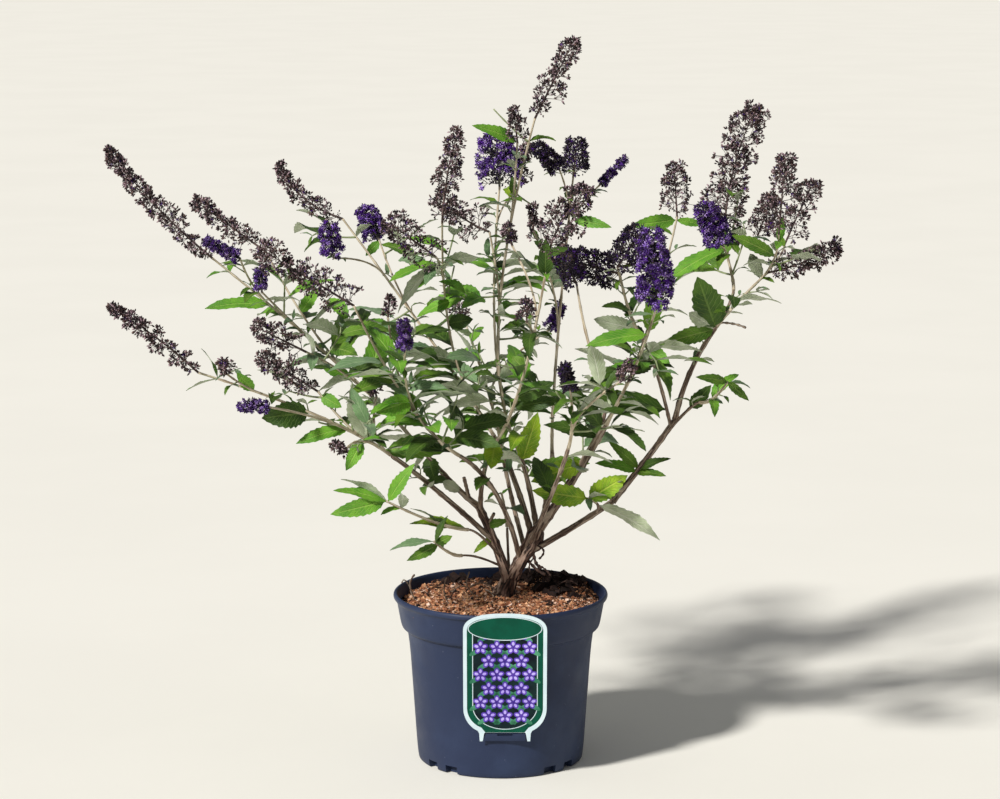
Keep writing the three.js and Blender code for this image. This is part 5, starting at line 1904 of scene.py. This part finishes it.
    def build_shoots(self, growth: Growth) -> None:
        """Makes the leading shoots and the finer twigs."""
        tips = {limb.name: limb.radii[1] for limb in LIMBS}
        shoots, twigs = Joinery(), Joinery()
        for name, mass in growth.masses.items():
            for shoot in mass.shoots:
                forks = shoot.plan.on is None
                heel = max(tips[name] - self.slimness * shoot.foot, 0) if forks else 0.35 * shoot.foot
                length = shoot.bend.length
                gap = length / (2 * max(2, round(length / growth.internode)))
                shoots.add(self.shoot(shoot, heel, 9, gap, self.slimness))
        for twig in growth.twigs:
            twigs.add(self.shoot(twig, 0.3, 5, 18))
        young = Streaked("young_wood", (206, 194, 168), (134, 116, 94), (232, 224, 204), 2, 40, 0.35, 0.0003)
        green = Mottled("green_twig", (150, 160, 118), (120, 132, 92), 80, 900, 0.8, 0.0002, 0.2)
        shoots.piece("young_shoots", [young], "bark", MASS_NODES)
        twigs.piece("green_twigs", [green], "foliage", MASS_NODES)


# ---------------- blossom


@dataclass(frozen=True)
class Habit:
    """How plumes of one state grow.

    They are fuller than their plans' girth and narrow by their taper to the tip. The rise draws their
    whorls to the tip or the foot. Cymes differ in reach by a pair of limits, some are bare at the foot,
    and forks and heads stand at shares of the reach.
    """

    fullness: float
    whorl_gap: float = 4.26
    taper: float = 0.3
    rise: float = 1.0
    reaches: Pair = (0.82, 1.08)
    bare: float = 0.0
    fork: float = 0.55
    head: float = 0.36


HABITS = {
    SPENT: Habit(1.25, 7.1, 0.5, 0.8, (0.45, 1.35), 0.3, 0.5, 0.46),
    VIOLET: Habit(1.2),
    DARK: Habit(1.15),
}


@dataclass(frozen=True)
class Cymes:
    """A plume's forked branches by roots and forks, and their heads by place, direction and height."""

    roots: Array
    forks: Array
    heads: Array
    ways: Array
    shares: Array


@dataclass
class Blossom:
    """The plumes: whorls of small branched cymes with dry capsules, buds or open florets."""

    around: int = 5
    heads: int = 5
    turn_on: float = 0.79
    loose_gap: float = 6.035
    loose_girth: float = 30.0
    swell: Pair = (0.62, 1.22)
    work: dict[str, Joinery] = field(default_factory=lambda: defaultdict(Joinery))
    plan: Plan | None = None
    rng: Random | None = None
    cymes: Cymes | None = None

    @property
    def spindle(self) -> Surface:
        """A pointed three-sided capsule one unit long."""
        return turned_surface(np.array([[0, 0], [0.5, 0.4], [0.34, 0.8], [0, 1]]), 3)

    @property
    def floret(self) -> Surface:
        """A floret: four spreading lobes on a slim tube. A lobe has a creased face and a keeled back."""
        lobe = np.array([[0.08, 0, 0], [0.7, -0.34, 0.12], [1, 0, 0.03], [0.7, 0.34, 0.12], [0.5, 0, -0.08]])
        lobes = [lobe @ upright_turn(FULL_TURN * number / 4) for number in range(4)]
        points = np.concatenate([*lobes, ring(0.14, -1.3, 4), ring(0.22, 0.02, 4)])
        sides = np.array([[0, 1, 2], [0, 2, 3], [4, 0, 3], [4, 1, 0], [4, 2, 1], [4, 3, 2]])
        caps = np.array([[3, 2, 1], [3, 1, 0], [4, 5, 6], [4, 6, 7]]) + 20
        triangles = [*(sides + 5 * number for number in range(4)), caps]
        return Surface(points, [np.concatenate(triangles), grid_quads(2, 4, wrap=True) + 20])

    def branched(self) -> Cymes:
        """The cymes of the plume at work.

        Whorls stand at even gaps along the axis, each turned on from the last. A cyme leaves the axis at
        a slant and reaches to the plume's outline, which narrows to its tip. It forks into heads.
        """
        plan, rng, habit = self.plan, self.rng, HABITS[self.plan.bloom]
        start, end = np.array([plan.tip, plan.plume], float)
        length = float(np.linalg.norm(end - start))
        axis = (end - start) / length
        loose = plan.bloom is VIOLET and plan.girth < self.loose_girth
        whorls = max(3, round(length / (self.loose_gap if loose else habit.whorl_gap)))
        share = np.repeat(((np.arange(whorls) + 0.4) / whorls) ** habit.rise, self.around)
        count = len(share)
        share = np.clip(share + rng.uniform(-0.3, 0.3, count) / whorls, 0, 0.985)
        turn = np.tile(np.arange(self.around) * FULL_TURN / self.around, whorls)
        turn = turn + np.repeat(np.arange(whorls) * self.turn_on, self.around)
        turn = turn + rng.uniform(-0.3, 0.3, count)
        rows = frames_about(axis[None], np.zeros(1))[0]
        radial = np.outer(np.cos(turn), rows[0]) + np.outer(np.sin(turn), rows[1])
        body = 1 - habit.taper * share
        for rise in (share * 9 + 0.45, (1.02 - share) * 9):
            body = body * np.sqrt(np.clip(rise, 0, 1))
        uneven = rng.uniform(*habit.reaches, count)
        swell = rng.uniform(*self.swell, whorls) if plan.bloom is SPENT else np.ones(whorls)
        reach = plan.girth / 2 * body * uneven * np.repeat(swell, self.around) * habit.fullness
        kept = rng.uniform(0, 1, count) > habit.bare * (1 - share)
        share, radial, reach = share[kept], radial[kept], reach[kept]
        roots = plan.spine(share)
        slant = unit(radial + axis * rng.uniform(0.15, 0.85, (len(share), 1)))
        forks = roots + slant * (reach * habit.fork)[:, None]
        strays = [unit(rng.normal(0, 1, slant.shape)) * (1 if head else 0.4) for head in range(self.heads)]
        ways = [unit(slant + 0.75 * stray) for stray in strays]
        heads = [forks + way * (reach * habit.head)[:, None] for way in ways]
        return Cymes(roots, forks, np.concatenate(heads), np.concatenate(ways), np.tile(share, self.heads))

    def stalks_between(self, starts: Array, ends: Array, width: float) -> Surface:
        """Three-sided stalks that thin from their starts to their ends."""
        walls = [grid_quads(2, 3, wrap=True), np.array([[2, 1, 0], [3, 4, 5]])]
        stalk = Surface(np.concatenate([ring(0.5, 0, 3), ring(0.34, 1, 3)]), walls)
        lengths = np.linalg.norm(ends - starts, axis=1)
        sizes = np.stack([np.full(len(starts), width), np.full(len(starts), width), lengths], axis=1)
        return scattered(stalk, starts, frames_about(unit(ends - starts), np.zeros(len(starts))), sizes)

    def knot(self, per_head: int, spread: float, length: Pair, width: float) -> tuple[Array, Array, Array]:
        """Places for small capsules or buds round the heads, pointing outwards.

        Args:
            per_head: How many stand round a head.
            spread: How far they stray from it.
            length: Their shortest and longest length.
            width: Their width as a share of their length.

        Returns:
            Centres, frames and sizes.
        """
        rng, ways = self.rng, np.repeat(self.cymes.ways, per_head, axis=0)
        count = len(ways)
        way = unit(ways + 0.9 * unit(rng.normal(0, 1, (count, 3))))
        stray = way * rng.uniform(0.1, 1, count)[:, None] * spread
        centres = np.repeat(self.cymes.heads, per_head, axis=0) + stray - ways * 0.6
        long = rng.uniform(*length, count)
        sizes = np.stack([long * width, long * width, long], axis=1)
        return centres, frames_about(way, rng.uniform(0, FULL_TURN, count)), sizes

    def strew(self, kind: str, shape: Surface, keep: Array, *places: Array) -> None:
        """Adds the kept ones of a shape's copies, by their centres, frames and sizes, to a kind."""
        self.work[kind].add(scattered(shape, *(column[keep] for column in places)))

    def add_spent(self) -> None:
        """Dry capsules in three browns, the rosy one partly dried corollas and partly painted highlight,
        with a last shrivelled floret here and there.
        """
        centres, frames, sizes = self.knot(6 if self.plan.girth > 40 else 4, 2.7, (2.3, 4.6), 0.52)
        pick = self.rng.uniform(0, 1, len(centres))
        for kind, low, high in (("seed_dark", 0, 0.5), ("seed_rosy", 0.5, 0.74), ("seed_brown", 0.74, 1.01)):
            self.strew(kind, self.spindle, (pick >= low) & (pick < high), centres, frames, sizes)
        late = self.rng.uniform(0, 1, len(centres)) < 0.02
        self.strew("florets", self.floret, late, centres, frames, np.full_like(sizes, 2.3))

    def add_violet(self) -> None:
        """Open florets, some paler (partly a paler tone and partly painted highlight), buds towards the tip,
        withered ones, and dark spindles within as painted shade in the plume's core.
        """
        centres, frames, sizes = self.knot(3, 2.2, (2.4, 3.6), 0.5)
        rng, cymes, girth, count = self.rng, self.cymes, self.plan.girth, len(centres)
        opened = rng.uniform(0, 1, count) < 1.25 - 0.9 * np.repeat(cymes.shares, 3)
        # The paler florets are partly a paler tone and partly painted highlight.
        pale = rng.uniform(0, 1, count) < 0.27
        withered = rng.uniform(0, 1, count) < 0.16
        wide = np.full((count, 3), min(3.2, 1.6 + girth / 20)) * rng.uniform(0.8, 1.15, (count, 1))
        self.strew("florets", self.floret, opened & ~pale & ~withered, centres, frames, wide)
        self.strew("pale_florets", self.floret, opened & pale & ~withered, centres, frames, wide)
        self.strew("buds", self.spindle, ~opened & ~withered, centres, frames, sizes)
        self.strew("seed_dark", self.spindle, withered, centres, frames, sizes)
        # Dark spindles near the forks paint the shade inside the plume's core.
        inner = np.repeat(blend(cymes.roots, cymes.forks, 0.7), 5, axis=0)
        inner = inner + rng.normal(0, 0.09 * girth, inner.shape)
        ways = unit(rng.normal(0, 1, inner.shape))
        size = np.array([2.2, 2.2, 3.4]) * rng.uniform(0.7, 1.2, (len(inner), 1))
        self.work["night"].add(scattered(self.spindle, inner, frames_about(ways, inner[:, 0]), size))

    def add_dark(self) -> None:
        """Violet-black buds and closed florets with a few open ones."""
        centres, frames, sizes = self.knot(5, 3.2, (2.4, 4.2), 0.55)
        pick = self.rng.uniform(0, 1, len(centres))
        for kind, low, high in (("night", 0, 0.55), ("seed_dark", 0.55, 0.86), ("buds", 0.86, 0.94)):
            self.strew(kind, self.spindle, (pick >= low) & (pick < high), centres, frames, sizes)
        self.strew("florets", self.floret, pick >= 0.94, centres, frames, np.full_like(sizes, 2.4))

    def build(self, growth: Growth) -> None:
        """Makes every plume and joins what is alike."""
        dress = {SPENT: self.add_spent, VIOLET: self.add_violet, DARK: self.add_dark}
        flowering = [shoot for mass in growth.masses.values() for shoot in mass.shoots if shoot.plan.plume]
        for number, shoot in enumerate(flowering):
            self.plan, self.rng = shoot.plan, np.random.default_rng(SEED + number)
            self.cymes = cymes = self.branched()
            spine = self.plan.spine(np.linspace(0, 0.97, 12))
            stalks = self.work["green_stalks" if self.plan.bloom is VIOLET else "stalks"]
            stalks.add(tube(spine, np.linspace(shoot.tip, 0.45, 12), 6))
            stalks.add(self.stalks_between(cymes.roots, cymes.forks, 1.0))
            stalks.add(self.stalks_between(np.tile(cymes.forks, (self.heads, 1)), cymes.heads, 0.7))
            dress[self.plan.bloom]()
        looks = {
            "stalks": ((104, 86, 82), (60, 46, 46), 0.85, "spent_blossom"),
            "green_stalks": ((134, 132, 120), (100, 92, 96), 0.8, "blossom"),
            "seed_dark": ((56, 41, 44), (28, 19, 22), 0.7, "spent_blossom"),
            # Rosy capsules: partly dried corollas, partly painted highlight.
            "seed_rosy": ((178, 154, 160), (128, 102, 112), 0.85, "spent_blossom"),
            "seed_brown": ((112, 88, 82), (72, 53, 50), 0.8, "spent_blossom"),
            "buds": ((80, 44, 112), (46, 22, 70), 0.6, "blossom"),
            "florets": ((110, 40, 186), (54, 14, 98), 0.5, "blossom"),
            # Pale florets: partly a paler tone, partly painted highlight.
            "pale_florets": ((228, 196, 255), (184, 140, 255), 0.5, "blossom"),
            # These dark spindles are the own colour of the dark plumes' buds, and painted shade inside the
            # violet plumes.
            "night": ((32, 14, 46), (18, 8, 28), 0.55, "blossom"),
        }
        for kind, (colour, second, roughness, slot) in looks.items():
            finish = Mottled(f"blossom_{kind}", colour, second, 140, 1600, roughness, 0.0002, 0.1, 0.2)
            self.work[kind].piece(f"blossom_{kind}", [finish], slot, MASS_NODES)


# ---------------- floor, light and camera


@dataclass
class Studio:
    """A plain pale floor, a soft key light from the front left, and the camera."""

    floor_half: float = 60000.0
    camera_place: Triple = (-0.0006, -3.0, 0.902)
    camera_dip: float = 0.169
    lens: float = 103.39
    key_strength: float = 4.02
    key_angle: float = 6.0
    key_turn: float = 47.0
    key_rise: float = 38.0
    sky_strength: float = 0.228

    def build(self) -> None:
        """Lays the floor, hangs the lights and sets up the camera."""
        joinery = Joinery()
        corners = self.floor_half * np.array([[-1, -1, 0], [1, -1, 0], [1, 1, 0], [-1, 1, 0]])
        joinery.add(Surface(corners, [np.array([[0, 1, 2, 3]])]))
        floor = stood("floor", joinery.mesh("floor", smooth=False))
        finish = Mottled("floor_paper", (245, 243, 234), (243, 241, 232), 2, 400, 0.9, 0.00005)
        floor.data.materials.append(finish.material())
        key = bpy.data.lights.new("key", "SUN")
        key.energy = self.key_strength
        key.angle = math.radians(self.key_angle)
        key.color = (1.0, 0.975, 0.94)
        lean, turn = math.radians(90 - self.key_rise), math.radians(-self.key_turn)
        stood("key", key).rotation_euler = (lean, 0, turn)
        world = bpy.data.worlds.new("sky")
        world.use_nodes = True
        sky = world.node_tree.nodes["Background"].inputs
        sky["Color"].default_value = (0.95, 0.96, 1.0, 1.0)
        sky["Strength"].default_value = self.sky_strength
        data = bpy.data.cameras.new("camera")
        data.lens = self.lens
        data.sensor_width = 36
        camera = stood("camera", data)
        camera.location = self.camera_place
        camera.rotation_euler = (math.pi / 2 - self.camera_dip, 0, 0)
        scene = bpy.context.scene
        scene.world, scene.camera = world, camera
        scene.view_settings.view_transform = "Standard"


def main() -> None:
    """Builds the studio, then the pot, the label, the soil and the plant."""
    logging.basicConfig(level=logging.INFO, format="%(message)s")
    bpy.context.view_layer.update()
    Studio().build()
    pot, soil = PotShell(), SoilBed()
    label = LabelPlate(pot)
    pot.build(label.standoff(label.foot) + label.thickness, label.middle)
    label.build()
    soil.build_bed(pot)
    soil.build_litter()
    growth = Growth()
    growth.grow()
    woodwork = Woodwork()
    woodwork.build_limbs(growth)
    woodwork.build_shoots(growth)
    Foliage().build(growth.spots)
    Blossom().build(growth)


if __name__ == "__main__":
    main()
